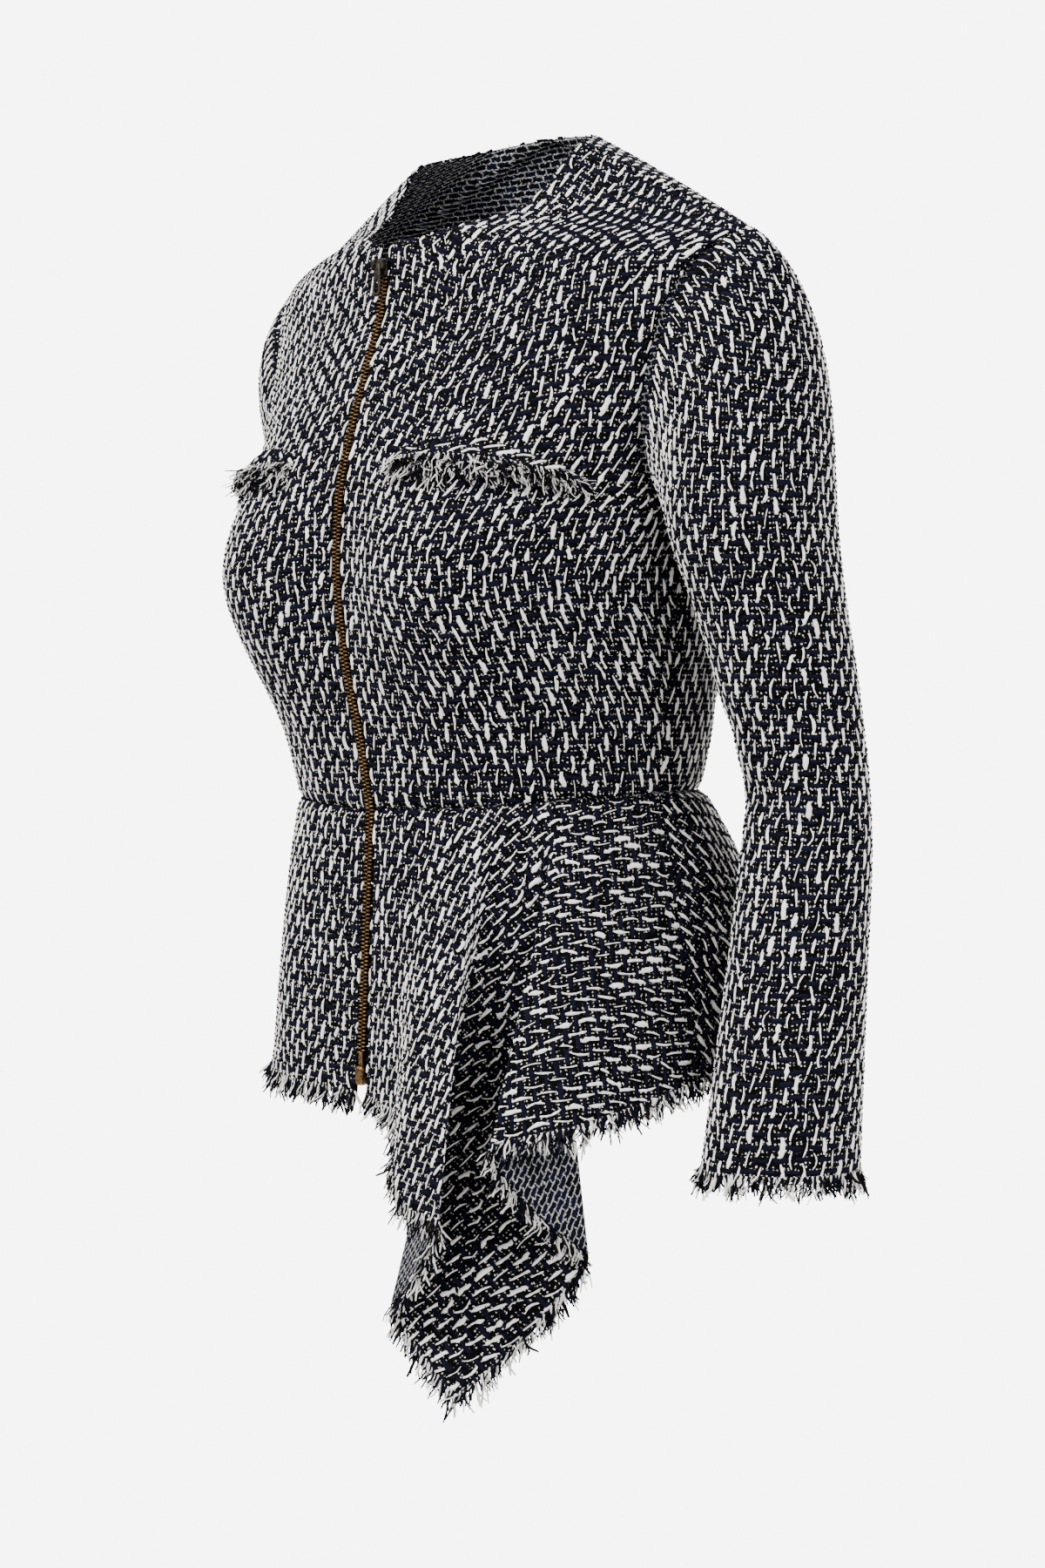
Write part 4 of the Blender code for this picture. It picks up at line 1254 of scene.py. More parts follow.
@dataclass
class Cutting:
    """Shapes of the jacket's panels, the same as in the frame, on finer grids."""

    bust_depth: float = 0.029
    bust_z: float = -0.245
    bust_reach: float = 0.062
    bust_skew: float = 0.8
    seam: float = 0.0003
    underarm_row: int = 4
    front_neck_row: int = 8
    core_top: float = -0.12
    armhole_gap: float = 0.0007
    cap_out: float = 0.8
    cap_side: float = 0.35
    cap_fall: float = 0.5
    cap_arrive: float = 0.9
    fold_round: float = 0.0080
    fold_round_most: float = 0.070
    bulge_skew: float = 0.7
    pocket_span: Pair = (0.19, 0.74)
    pocket_foot: float = -0.182
    pocket_heights: Pair = (0.012, 0.025)
    pocket_seat: float = 0.0007
    pocket_rim: float = 0.0020
    pocket_puff: float = 0.0045
    pocket_end: float = 0.08
    pocket_end_least: float = 0.25
    pocket_close: float = 0.9
    pocket_rows: int = 60
    half_ends: Pair = (0.9992, 0.9996)
    arc_points: int = 121
    waist_points: int = 401
    peplum_points: int = 301
    peplum_ends: Pair = (0.0005, 0.9995)
    arrive_part: int = 9
    zip_points: int = 240
    zip_bodice_points: int = 200
    zip_peplum_points: int = 80
    zip_peplum_from: float = 0.002
    front: Tuple[BodiceRow, ...] = (
        BodiceRow(-0.3765, 0.0036, -0.1022, -0.3655, 0.128, 0.0040, 2.15),
        BodiceRow(-0.3360, 0.0036, -0.1100, -0.3280, 0.132, 0.0040, 2.20),
        BodiceRow(-0.2870, 0.0036, -0.1222, -0.2830, 0.139, 0.0040, 2.25),
        BodiceRow(-0.2380, 0.0036, -0.1279, -0.2430, 0.145, 0.0040, 2.25),
        BodiceRow(-0.2000, 0.0036, -0.1260, -0.2080, 0.148, 0.0040, 2.20),
        BodiceRow(-0.1650, 0.0036, -0.1183, -0.1900, 0.146, -0.0245, 2.00),
        BodiceRow(-0.1250, 0.0036, -0.1055, -0.1500, 0.150, -0.0340, 1.80),
        BodiceRow(-0.0850, 0.0036, -0.0930, -0.1040, 0.158, -0.0290, 1.55),
        BodiceRow(-0.0550, 0.0036, -0.0900, -0.0760, 0.168, -0.0190, 1.35),
        BodiceRow(-0.0470, 0.030, -0.0770, -0.0610, 0.175, -0.0060, 1.20),
        BodiceRow(-0.0315, 0.058, -0.0380, -0.0520, 0.180, 0.0080, 1.10),
        BodiceRow(0.0080, 0.070, -0.0010, -0.0480, 0.182, 0.0180, 1.02),
    )
    back: Tuple[BodiceRow, ...] = (
        BodiceRow(-0.3640, 0.000, 0.0970, -0.3655, 0.128, 0.0040, 2.15),
        BodiceRow(-0.3280, 0.000, 0.1085, -0.3280, 0.132, 0.0040, 2.20),
        BodiceRow(-0.2830, 0.000, 0.1180, -0.2830, 0.139, 0.0040, 2.25),
        BodiceRow(-0.2400, 0.000, 0.1225, -0.2430, 0.145, 0.0040, 2.25),
        BodiceRow(-0.2000, 0.000, 0.1240, -0.2080, 0.148, 0.0040, 2.20),
        BodiceRow(-0.1600, 0.000, 0.1220, -0.1850, 0.149, 0.0360, 2.00),
        BodiceRow(-0.1150, 0.000, 0.1140, -0.1450, 0.157, 0.0530, 1.80),
        BodiceRow(-0.0650, 0.000, 0.0980, -0.1040, 0.165, 0.0550, 1.55),
        BodiceRow(-0.0200, 0.000, 0.0720, -0.0760, 0.173, 0.0460, 1.35),
        BodiceRow(0.0210, 0.000, 0.0470, -0.0610, 0.178, 0.0360, 1.20),
        BodiceRow(0.0170, 0.045, 0.0340, -0.0530, 0.181, 0.0270, 1.10),
        BodiceRow(0.0080, 0.070, -0.0010, -0.0480, 0.182, 0.0180, 1.02),
    )
    left_arm: Tuple[SleeveRing, ...] = (
        SleeveRing(0.1960, 0.0100, -0.235, 0.0440, 0.0475),
        SleeveRing(0.2020, 0.0140, -0.265, 0.0425, 0.0415),
        SleeveRing(0.2100, 0.0200, -0.310, 0.0400, 0.0370),
        SleeveRing(0.2180, 0.0266, -0.373, 0.0370, 0.0305),
        SleeveRing(0.2190, 0.0226, -0.406, 0.0375, 0.0355),
        SleeveRing(0.2215, 0.0141, -0.454, 0.0385, 0.0375),
        SleeveRing(0.2235, 0.0056, -0.502, 0.0400, 0.0405),
        SleeveRing(0.2260, -0.0057, -0.569, 0.0420, 0.0447),
    )
    right_arm: Tuple[SleeveRing, ...] = (
        SleeveRing(0.1860, 0.0660, -0.230, 0.0430, 0.0460),
        SleeveRing(0.1890, 0.0780, -0.262, 0.0420, 0.0410),
        SleeveRing(0.1940, 0.0940, -0.305, 0.0400, 0.0370),
        SleeveRing(0.2000, 0.1100, -0.360, 0.0370, 0.0320),
        SleeveRing(0.2020, 0.1060, -0.395, 0.0375, 0.0355),
        SleeveRing(0.2040, 0.1000, -0.438, 0.0385, 0.0375),
        SleeveRing(0.2060, 0.0930, -0.480, 0.0400, 0.0405),
        SleeveRing(0.2080, 0.0830, -0.530, 0.0420, 0.0447),
    )
    left_peplum: Tuple[PeplumRow, ...] = (
        PeplumRow(0.000, 0.007, -0.048, 0.1621),
        PeplumRow(0.150, 0.085, -0.135, 0.1714),
        PeplumRow(0.247, 0.101, -0.254, 0.2089),
        PeplumRow(0.320, 0.147, -0.293, 0.2294),
        PeplumRow(0.390, 0.221, -0.324, 0.2372),
        PeplumRow(0.484, -0.144, -0.182, 0.2866),
        PeplumRow(0.551, -0.012, -0.164, 0.3292),
        PeplumRow(0.596, 0.184, -0.033, 0.2504),
        PeplumRow(0.639, 0.134, -0.419, 0.2032),
        PeplumRow(0.766, 0.231, -0.366, 0.1953),
        PeplumRow(0.886, 0.245, -0.245, 0.1800),
        PeplumRow(1.000, 0.266, -0.090, 0.1657),
    )
    right_peplum: Tuple[PeplumRow, ...] = (
        PeplumRow(0.000, 0.000, -0.048, 0.1621),
        PeplumRow(0.350, 0.045, -0.080, 0.1620, 0.002),
        PeplumRow(0.700, 0.115, -0.060, 0.1620, 0.004),
        PeplumRow(1.000, 0.150, 0.010, 0.1620, 0.004),
    )
    back_peplum: Tuple[PeplumRow, ...] = (
        PeplumRow(1.000, 0.266, -0.090, 0.1657),
        PeplumRow(0.880, 0.290, 0.010, 0.1660, 0.008),
        PeplumRow(0.650, 0.270, 0.200, 0.1670, 0.011),
        PeplumRow(0.350, 0.150, 0.330, 0.1690, 0.011),
        PeplumRow(0.000, 0.000, 0.360, 0.1700, 0.010),
        PeplumRow(-0.350, -0.110, 0.300, 0.1680, 0.010),
        PeplumRow(-0.650, -0.180, 0.170, 0.1650, 0.008),
        PeplumRow(-0.880, -0.170, 0.060, 0.1630, 0.005),
        PeplumRow(-1.000, -0.150, 0.010, 0.1620, 0.004),
    )

    @staticmethod
    def row_places(rows: Sequence[BodiceRow]) -> Array:
        """Place of each row of a half, by the mean length of its two edges.

        Args:
            rows: the half's rows.
        Returns:
            Places, from 0 at the waist to 1 at the shoulder.
        """
        table = np.array(rows)
        along = (run_lengths(table[:, (1, 2, 0)]) + run_lengths(table[:, (4, 5, 3)])) / 2
        return along / along[-1]

    def bodice(self, rows: Sequence[BodiceRow], u: Array, v: Array, bust: float) -> Array:
        """Points of a bodice half.

        A row is a superellipse arc between its edges, straight where its power is one. The bust moves it out
        by a squared sine of the share across times a Gaussian of the height. Points are spaced by length.

        Args:
            rows: the half's rows.
            u: shares across, from edge a to edge b.
            v: shares up, from waist to shoulder.
            bust: depth of the bust.
        Returns:
            Points, (rows, columns, 3).
        """
        read = smooth_table(self.row_places(rows), np.array(rows), np.asarray(v, float))
        za, xa, ya, zb, xb, yb, power = (column[:, None] for column in read.T)
        angle = np.linspace(0.0, np.pi / 2, self.arc_points)[None]
        across = np.sin(angle) ** (2 / power)
        depth = np.clip(np.cos(angle), 0.0, 1.0) ** (2 / power)
        lift = (across + 1 - depth) / 2
        x, y, z = xa + (xb - xa) * across, yb + (ya - yb) * depth, za + (zb - za) * lift
        points = np.stack((x, y, z), axis=-1)
        lengths = run_lengths(points)
        swell = np.sin(np.pi * (lengths / lengths[:, -1:]) ** self.bust_skew) ** 2
        points[..., 1] -= bust * swell * np.exp(-((points[..., 2] - self.bust_z) / self.bust_reach) ** 2)
        return resample(points, np.asarray(u, float))

    def half(self, rows: Sequence[BodiceRow], bust: float, size: Tuple[int, int], facing: float) -> Cloth:
        """A left bodice half with its flat coordinates.

        Across runs along each row, from a start that moves with the neckline, and along runs up each column,
        both by the parts of the steps on the straight grain.

        Args:
            rows: its rows.
            bust: depth of the bust.
            size: rows and columns of the grid.
            facing: sign that points its normals out.
        Returns:
            The panel.
        """
        u = np.linspace(0.0, self.half_ends[0], size[1])
        v = np.linspace(0.0, self.half_ends[1], size[0])
        points = self.bodice(rows, u, v, bust)
        weft, warp = grain(points, facing)
        begin = points[0, 0, 0] + run_on(points[:, :1], weft[:, :1], 0)
        across = begin + run_on(points, weft, 1)
        along = run_on(points[:1], warp[:1], 1) + run_on(points, warp, 0)
        return Cloth(points, across, along, facing)

    def inward(self, points: Array) -> Array:
        """Direction into the hollow: level below the chest, down and in at the shoulders.

        Args:
            points: where to look from.
        Returns:
            Unit directions.
        """
        core = np.zeros_like(points)
        core[..., 2] = np.minimum(points[..., 2], self.core_top)
        return unit(core - points)

    def armhole(self, share: Array) -> Array:
        """Points of the left armhole.

        Args:
            share: 0 at the underarm, up the front to 0.5 at the shoulder, and down the back to 1.
        Returns:
            Points, one for each share.
        """
        front_from = self.row_places(self.front)[self.underarm_row]
        back_from = self.row_places(self.back)[self.underarm_row]
        up = np.clip(share * 2, 0.0, 1.0)
        down = np.clip(2 - share * 2, 0.0, 1.0)
        front = self.bodice(self.front, [1.0], front_from + (1 - front_from) * up, 0.0)[:, 0]
        back = self.bodice(self.back, [1.0], back_from + (1 - back_from) * down, 0.0)[:, 0]
        return np.where((share <= 0.5)[:, None], front, back)

    def sleeve(self, arm: Sequence[SleeveRing], size: Tuple[int, int, int]) -> Cloth:
        """A left-hand sleeve: a cap of cubic arcs from the armhole to the biceps, then ellipses down the arm.

        Across runs by length round each ring from its outer line. Along runs down the arm's middle, and up
        each column of the cap by the part of each step that is square to the rings.

        Args:
            arm: rings of the arm.
            size: rows of the cap, rows of the arm, columns round.
        Returns:
            The panel.
        """
        share = np.linspace(0.0, 1.0, size[2])
        turn = share * 2 * np.pi
        loop = self.armhole(share)
        loop = loop - self.armhole_gap * self.inward(loop)
        table = np.array(arm)
        knots = run_lengths(table[:, :3])
        read = smooth_table(knots / knots[-1], table, np.linspace(0.0, 1.0, size[1]))
        around = np.stack((-np.cos(turn), -np.sin(turn), np.zeros_like(turn)), axis=-1)
        half = np.concatenate((read[:, 3:5], np.zeros((len(read), 1))), axis=1)
        rings = read[:, None, :3] + around[None] * half[:, None, :]
        fall = -self.cap_fall - self.cap_fall * np.cos(turn / 2) ** 2
        leave = np.stack((np.full_like(turn, self.cap_out), -self.cap_side * np.sin(turn), fall), axis=-1)
        leave = unit(leave)
        arrive = unit(rings[size[1] // self.arrive_part] - rings[0])
        reach = np.linalg.norm(rings[0] - loop, axis=-1, keepdims=True)
        t = (np.arange(size[0]) / size[0])[:, None, None]
        cap = (1 + 2 * t) * (1 - t) ** 2 * loop + t * (1 - t) ** 2 * reach * leave
        cap = cap + t * t * (3 - 2 * t) * rings[0] - t * t * (1 - t) * self.cap_arrive * reach * arrive
        points = np.concatenate((cap, rings))
        run = run_lengths(points)
        across = run - run[:, -1:] / 2
        over = unit(np.gradient(points, axis=1))
        steps = np.diff(points[:size[0] + 1], axis=0)
        middle = unit(over[1:size[0] + 1] + over[:size[0]])
        square = np.linalg.norm(steps - (steps * middle).sum(axis=-1, keepdims=True) * middle, axis=-1)
        above = np.cumsum(square[::-1], axis=0)[::-1]
        below = -run_lengths(read[:, :3])
        along = np.concatenate((above, np.broadcast_to(below[:, None], rings.shape[:2])))
        return Cloth(points, across, along, 1.0)

    def waist(self, share: Array, rows: Sequence[BodiceRow], bust: float) -> Array:
        """Points of the waist seam.

        Args:
            share: place from the centre (0) to the side seam (1, or -1 on the right).
            rows: bodice rows above it.
            bust: depth of the bust there.
        Returns:
            Points, one for each share.
        """
        fine = np.linspace(0.0, 1.0, self.waist_points)
        line = self.bodice(rows, fine, [0.0], bust)[0]
        read = np.column_stack([np.interp(np.abs(share), fine, line[:, axis]) for axis in range(3)])
        read[:, 0] *= np.where(share < 0, -1.0, 1.0)
        read[:, 2] -= self.seam
        return read

    def peplum(
        self, table_rows: Sequence[PeplumRow], body: Sequence[BodiceRow], bust: float,
        size: Tuple[int, int], degrees: float, grain_at: float,
    ) -> Cloth:
        """A peplum panel of rays from the waist to the hem, its folds opening out on the way down.

        The rays' leans are softened more near the waist. The flat cut unrolls the rays: each turns from the
        last by its share of the panel's flat angle, and its root moves on by the waist's own step.

        Args:
            table_rows: its rays.
            body: bodice rows above its waist.
            bust: depth of the bust there.
            size: rows and columns of the grid.
            degrees: flat angle between its first and last ray.
            grain_at: share of its columns where the white yarns run along the ray.
        Returns:
            The panel.
        """
        table = np.array(table_rows)
        roots = self.waist(table[:, 0], body, bust)
        fall = -np.sqrt(1 - (table[:, 1:3] ** 2).sum(axis=1, keepdims=True))
        ends = roots + table[:, 3:4] * np.concatenate((table[:, 1:3], fall), axis=1)
        knots = run_lengths(ends)
        fine = np.linspace(0.0, knots[-1], self.peplum_points)
        read = np.column_stack([np.interp(fine, knots, column) for column in table.T])
        fine_roots = self.waist(read[:, 0], body, bust)
        outward = unit(fine_roots * LEVEL)
        wanted = np.linspace(*self.peplum_ends, size[1]) * fine[-1]
        lines = []
        for step in np.linspace(0.0, 1.0, size[0]):
            rounding = self.fold_round / max(step, self.fold_round / self.fold_round_most)
            lean = soften(read[:, 1:3], fine[1], rounding)
            fall = -np.sqrt(1 - (lean ** 2).sum(axis=1, keepdims=True))
            line = fine_roots + step * read[:, 3:4] * np.concatenate((lean, fall), axis=1)
            line = line + read[:, 4:5] * np.sin(np.pi * step ** self.bulge_skew) * outward
            lines.append(np.column_stack([np.interp(wanted, fine, line[:, axis]) for axis in range(3)]))
        points = np.array(lines)
        rays = unit(points[-1] - points[0])
        turns = np.arccos(np.clip((rays[1:] * rays[:-1]).sum(axis=-1), -1.0, 1.0))
        turned = np.concatenate(([0.0], np.cumsum(turns)))
        bearing = turned / turned[-1] * math.radians(degrees)
        bearing = bearing - np.interp(grain_at, np.linspace(0, 1, size[1]), bearing)
        waist_steps = np.linalg.norm(np.diff(points[0], axis=0), axis=-1)
        half_way = (bearing[1:] + bearing[:-1]) / 2
        root_steps = waist_steps[:, None] * np.stack((np.cos(half_way), np.sin(half_way)), axis=-1)
        root = np.concatenate((np.zeros((1, 2)), np.cumsum(root_steps, axis=0)))
        reach = run_lengths(np.swapaxes(points, 0, 1)).T
        across = root[None, :, 0] + reach * np.sin(bearing)
        along = root[None, :, 1] - reach * np.cos(bearing)
        return Cloth(points, across, along, 1.0)

    def pocket(self, size: Tuple[int, int], turn: float) -> Cloth:
        """Left pocket welt: a padded crescent raised off the front, its white yarns turned from the upright.

        Its height follows a half sine across. It stands off by a seat, a rim that closes towards the top edge
        and the ends, and a puff that is a half sine each way.

        Args:
            size: rows, from the top edge to the foot, and columns.
            turn: turn of the white yarns from the upright.
        Returns:
            The panel.
        """
        share = np.linspace(0.0, 1.0, size[1])
        rise = np.linspace(1.0, 0.0, size[0])[:, None]
        edge = np.array(self.front)[:self.front_neck_row + 1, 0]
        places = self.row_places(self.front)[:self.front_neck_row + 1]
        foot = np.interp(self.pocket_foot, edge, places)
        per_metre = (places[-1] - places[0]) / (edge[-1] - edge[0])
        u = self.pocket_span[0] + (self.pocket_span[1] - self.pocket_span[0]) * share
        arc = np.sin(np.pi * share)
        height = self.pocket_heights[0] + (self.pocket_heights[1] - self.pocket_heights[0]) * arc
        v = foot + rise * height * per_metre
        levels = np.linspace(v.min(), v.max(), self.pocket_rows)
        fine = self.bodice(self.front, u, levels, self.bust_depth)
        row = (v - v.min()) / (v.max() - v.min()) * (self.pocket_rows - 1)
        column = np.broadcast_to(np.arange(size[1], dtype=float), v.shape)
        panel = bilinear(fine, row, column)
        ends = np.clip(np.minimum(share, 1 - share) / self.pocket_end, self.pocket_end_least, 1.0)
        rim = self.pocket_rim * (1 - self.pocket_close * rise ** 3) * ends
        raised = self.pocket_seat + rim + self.pocket_puff * np.sin(np.pi * rise) * arc
        points = panel - raised[..., None] * self.inward(panel)
        across, along = run_lengths(points), rise * height
        cos, sin = math.cos(turn), math.sin(turn)
        return Cloth(points, across * cos + along * sin, along * cos - across * sin, 1.0, turn)

    def centre_front(self) -> Array:
        """Points of the zip's line from the neck to the hem, in the middle plane."""
        neck = self.row_places(self.front)[self.front_neck_row]
        levels = np.linspace(neck, 0.0, self.zip_bodice_points)
        bodice = self.bodice(self.front, [0.0], levels, self.bust_depth)[:, 0]
        ray = self.left_peplum[0]
        lean = np.array((ray.lean_x, ray.lean_y, -math.sqrt(1 - ray.lean_x ** 2 - ray.lean_y ** 2)))
        reach = np.linspace(self.zip_peplum_from, ray.length, self.zip_peplum_points)
        line = np.concatenate((bodice, bodice[-1] + reach[:, None] * lean)) * MIDDLE
        return resample(line[None], np.linspace(0.0, 1.0, self.zip_points))[0]


def rounded_boxes(centres: Array, halves: Array, cells: int, power: float) -> Piece:
    """Boxes with rounded edges: a cube's grid drawn in to a surface of constant power sum.

    Args:
        centres: middles, one for each box.
        halves: half sizes, one for each box or for all.
        cells: cells along each edge.
        power: roundness, 2 for an ellipsoid and more for a box.
    Returns:
        The boxes' arrays.
    """
    line = np.tan(np.linspace(-1.0, 1.0, cells + 1) * np.pi / 4)
    second, first = (grid.ravel() for grid in np.meshgrid(line, line, indexing="ij"))
    one = np.ones_like(first)
    faces = [np.stack(side, axis=-1) for side in (
        (one, first, second), (-one, -first, second), (-first, one, second),
        (first, -one, second), (-second, first, one), (second, first, -one),
    )]
    cube = np.concatenate(faces)
    cube = cube / (np.abs(cube) ** power).sum(axis=-1, keepdims=True) ** (1 / power)
    quads = many_quads(grid_quads(cells + 1, cells + 1), len(faces), (cells + 1) ** 2)
    vertices = centres[:, None] + cube[None] * np.broadcast_to(halves, centres.shape)[:, None]
    return Piece(vertices.reshape(-1, 3), many_quads(quads, len(centres), len(cube)))


class Block(NamedTuple):
    """Rounded block of metal: its middle and its half sizes."""

    middle: Triple
    half: Triple


@dataclass
class Zip:
    """Exposed metal zip: tape, two rows of teeth, slider with its pull, and the box at the hem."""

    palette: "Palette"
    line: Array
    pitch: float = 0.0022
    tooth_half: Triple = (0.00165, 0.00150, 0.00056)
    tooth_aside: float = 0.00155
    tooth_back: float = 0.0005
    tooth_cells: int = 3
    tooth_power: float = 4.0
    chain_gaps: Pair = (0.0006, 0.0070)
    tape_half: float = 0.0105
    tape_back: float = 0.0034
    tape_thick: float = 0.0008
    tape_columns: int = 9
    tape_ends: Tuple[int, int] = (2, 4)
    block_cells: int = 6
    metal_weld: float = 0.00001
    slider_top: float = -0.0620
    slider_length: float = 0.0100
    slider_power: float = 6.0
    plate_half: Pair = (0.0048, 0.0012)
    plate_out: float = 0.0018
    web_half: Pair = (0.0030, 0.0014)
    web_back: float = 0.0007
    lug_half: Triple = (0.0010, 0.0019, 0.0032)
    lug_aside: float = 0.0038
    lug_out: float = 0.0040
    lug_drop: float = 0.0006
    pin_half: Triple = (0.0040, 0.0006, 0.0006)
    pull_drop: float = 0.0026
    pull_out: float = 0.0047
    pull_length: float = 0.0190
    pull_top: float = 0.0012
    pull_half: float = 0.0022
    pull_flare: float = 0.0010
    pull_slot_top: float = -0.0105
    pull_slot_foot: float = 0.0022
    pull_slot_half: float = 0.0012
    pull_slot_flare: float = 0.0006
    pull_round: float = 0.5
    pull_bevel: float = 0.10
    pull_rim: float = 0.0002
    pull_face: float = 0.0006
    pull_points: int = 48
    pull_weld: float = 0.000001
    box_top: float = -0.5215
    box_length: float = 0.0110
    box_half: Pair = (0.0030, 0.0020)
    box_back: float = 0.0004
    box_power: float = 8.0
    stem_rise: float = 0.0036
    stem_half: Triple = (0.0009, 0.0011, 0.0042)
    stems: Tuple[Pair, ...] = ((0.0009, 0.0002), (-0.0010, 0.0006))

    def depth(self, z: Union[float, Array]) -> Union[float, Array]:
        """Depth of the centre front at a height."""
        return np.interp(z, self.line[::-1, 2], self.line[::-1, 1])

    def tape(self) -> None:
        """Flat strip behind the fronts' edges, from the neck to the hem."""
        x = np.linspace(-self.tape_half, self.tape_half, self.tape_columns)
        middle = self.line[self.tape_ends[0]:-self.tape_ends[1]]
        points = middle[:, None] + np.stack((x, np.full_like(x, self.tape_back), np.zeros_like(x)), axis=-1)
        across = np.broadcast_to(x, points.shape[:2])
        along = np.broadcast_to(middle[:, 2:3], points.shape[:2])
        strip = Cloth(points, across, along, 1.0).shell(0.0, self.tape_thick)._replace(finish=None)
        add_piece("zip_tape_strip", strip, (self.palette.tape,), replaces=("zip_tape",))

    def chain(self) -> None:
        """Teeth of both sides, half a pitch apart, from the slider to the box."""
        top = self.slider_top - self.slider_length - self.chain_gaps[0]
        low = self.box_top + self.chain_gaps[1]
        z = np.arange(top, low, -self.pitch / 2)
        side = np.where(np.arange(len(z)) % 2 == 0, 1.0, -1.0)
        centres = np.column_stack((side * self.tooth_aside, self.depth(z) + self.tooth_back, z))
        teeth = rounded_boxes(centres, np.array(self.tooth_half), self.tooth_cells, self.tooth_power)
        add_piece("zip_teeth", teeth, (self.palette.brass,), replaces=("zip_chain",),
                  weld=self.metal_weld)

    def rounded(self, blocks: Sequence[Block], power: float) -> Piece:
        """Rounded blocks as one mesh.

        Args:
            blocks: the blocks.
            power: their roundness.
        Returns:
            The blocks' arrays.
        """
        centres = np.array([block.middle for block in blocks])
        halves = np.array([block.half for block in blocks])
        return rounded_boxes(centres, halves, self.block_cells, power)

    def end_box(self) -> None:
        """Box that ends the chain at the hem, and the two pins that stand in it."""
        half = self.box_length / 2
        box_z = self.box_top - half
        stem_z = self.box_top + self.stem_rise
        blocks = [Block((0.0, self.depth(box_z) + self.box_back, box_z), (*self.box_half, half))]
        for x, back in self.stems:
            blocks.append(Block((x, self.depth(stem_z) + back, stem_z), self.stem_half))
        add_piece("zip_end_box", self.rounded(blocks, self.box_power), (self.palette.brass,),
                  replaces=("zip_box",), weld=self.metal_weld)

    def slider(self) -> None:
        """Body with a plate and a web, two lugs, and the pin that the pull turns on."""
        half = self.slider_length / 2
        middle = self.slider_top - half
        pivot = self.slider_top - self.pull_drop
        y = self.depth(middle)
        blocks = [
            Block((0.0, y - self.plate_out, middle), (*self.plate_half, half)),
            Block((0.0, y + self.web_back, middle), (*self.web_half, half)),
        ]
        for x in (self.lug_aside, -self.lug_aside):
            blocks.append(Block((x, y - self.lug_out, pivot - self.lug_drop), self.lug_half))
        blocks.append(Block((0.0, self.depth(pivot) - self.pull_out, pivot), self.pin_half))
        body = self.rounded(blocks, self.slider_power)
        add_piece("zip_slider_body", body, (self.palette.bronze,), replaces=("zip_slider",),
                  weld=self.metal_weld)

    def outline(self, half: float, top: float, foot: float, flare: float) -> Array:
        """Rounded outline between two heights, a superellipse that is wider at its foot.

        Args:
            half: half width at the top.
            top: upper height.
            foot: lower height.
            flare: how much the half width grows to the foot.
        Returns:
            Points, x and z.
        """
        turn = np.linspace(0.0, 2 * np.pi, self.pull_points, endpoint=False)
        x, z = (np.sign(wave) * np.abs(wave) ** self.pull_round for wave in (np.cos(turn), np.sin(turn)))
        height = (top + foot) / 2 + z * (top - foot) / 2
        width = half + flare * (top - height) / (top - foot)
        return np.column_stack((x * width, height))

    def pull(self) -> None:
        """Tapering tab with a slot, hung from the slider's pin along the front."""
        pivot = np.array((0.0, 0.0, self.slider_top - self.pull_drop))
        pivot[1] = self.depth(pivot[2]) - self.pull_out
        low = pivot[2] - self.pull_length
        tilt = math.atan2(self.depth(pivot[2]) - self.depth(low), self.pull_length)
        outer = self.outline(self.pull_half, self.pull_top, -self.pull_length, self.pull_flare)
        slot_foot = -self.pull_length + self.pull_slot_foot
        inner = self.outline(self.pull_slot_half, self.pull_slot_top, slot_foot, self.pull_slot_flare)
        near_outer = outer + (inner - outer) * self.pull_bevel
        near_inner = inner + (outer - inner) * self.pull_bevel
        rim, face = self.pull_rim, self.pull_face
        rings = (
            (outer, -rim), (near_outer, -face), (near_inner, -face), (inner, -rim), (inner, rim),
            (near_inner, face), (near_outer, face), (outer, rim), (outer, -rim),
        )
        flat = np.array([
            np.column_stack((ring[:, 0], np.full(len(ring), y), ring[:, 1])) for ring, y in rings
        ])
        cos, sin = math.cos(tilt), math.sin(tilt)
        turned = np.stack((flat[..., 0], flat[..., 1] * cos + flat[..., 2] * sin,
                           flat[..., 2] * cos - flat[..., 1] * sin), axis=-1)
        tab = Piece((turned + pivot).reshape(-1, 3), grid_quads(len(rings), self.pull_points, True))
        add_piece("zip_pull_tab", tab, (self.palette.bronze,), Body.PULL, ("zip_pull",),
                  weld=self.pull_weld)

    def build(self) -> None:
        """Make every piece of the zip."""
        self.tape()
        self.chain()
        self.end_box()
        self.slider()
        self.pull()


@dataclass
class Palette:
    """Finishes of the jacket."""

    ground: Material
    reverse: Material
    white: Material
    navy: Material
    black: Material
    tape: Material
    brass: Material
    bronze: Material

    @classmethod
    def mixed(cls) -> "Palette":
        """Make every finish."""
        return cls(
            BoucleGround().material(),
            Reverse().material(),
            SpunYarn("white_slub", (0.76, 0.74, 0.705), (0.56, 0.545, 0.52), gloss=0.1).material(),
            SpunYarn("navy_yarn", (0.0046, 0.0046, 0.0118), (0.0017, 0.0017, 0.0040), 2200.0).material(),
            SpunYarn("black_yarn", (0.0080, 0.0072, 0.0070), (0.0020, 0.0019, 0.0019), 2200.0).material(),
            WovenTape().material(),
            AgedMetal("antique_brass", (0.20, 0.115, 0.048), (0.040, 0.021, 0.009)).material(),
            AgedMetal("dark_bronze", (0.030, 0.024, 0.019), (0.010, 0.008, 0.007)).material(),
        )

    def fray(self) -> Tuple[Material, ...]:
        """Finishes of frayed threads, in the order of the shades."""
        return self.white, self.navy, self.black


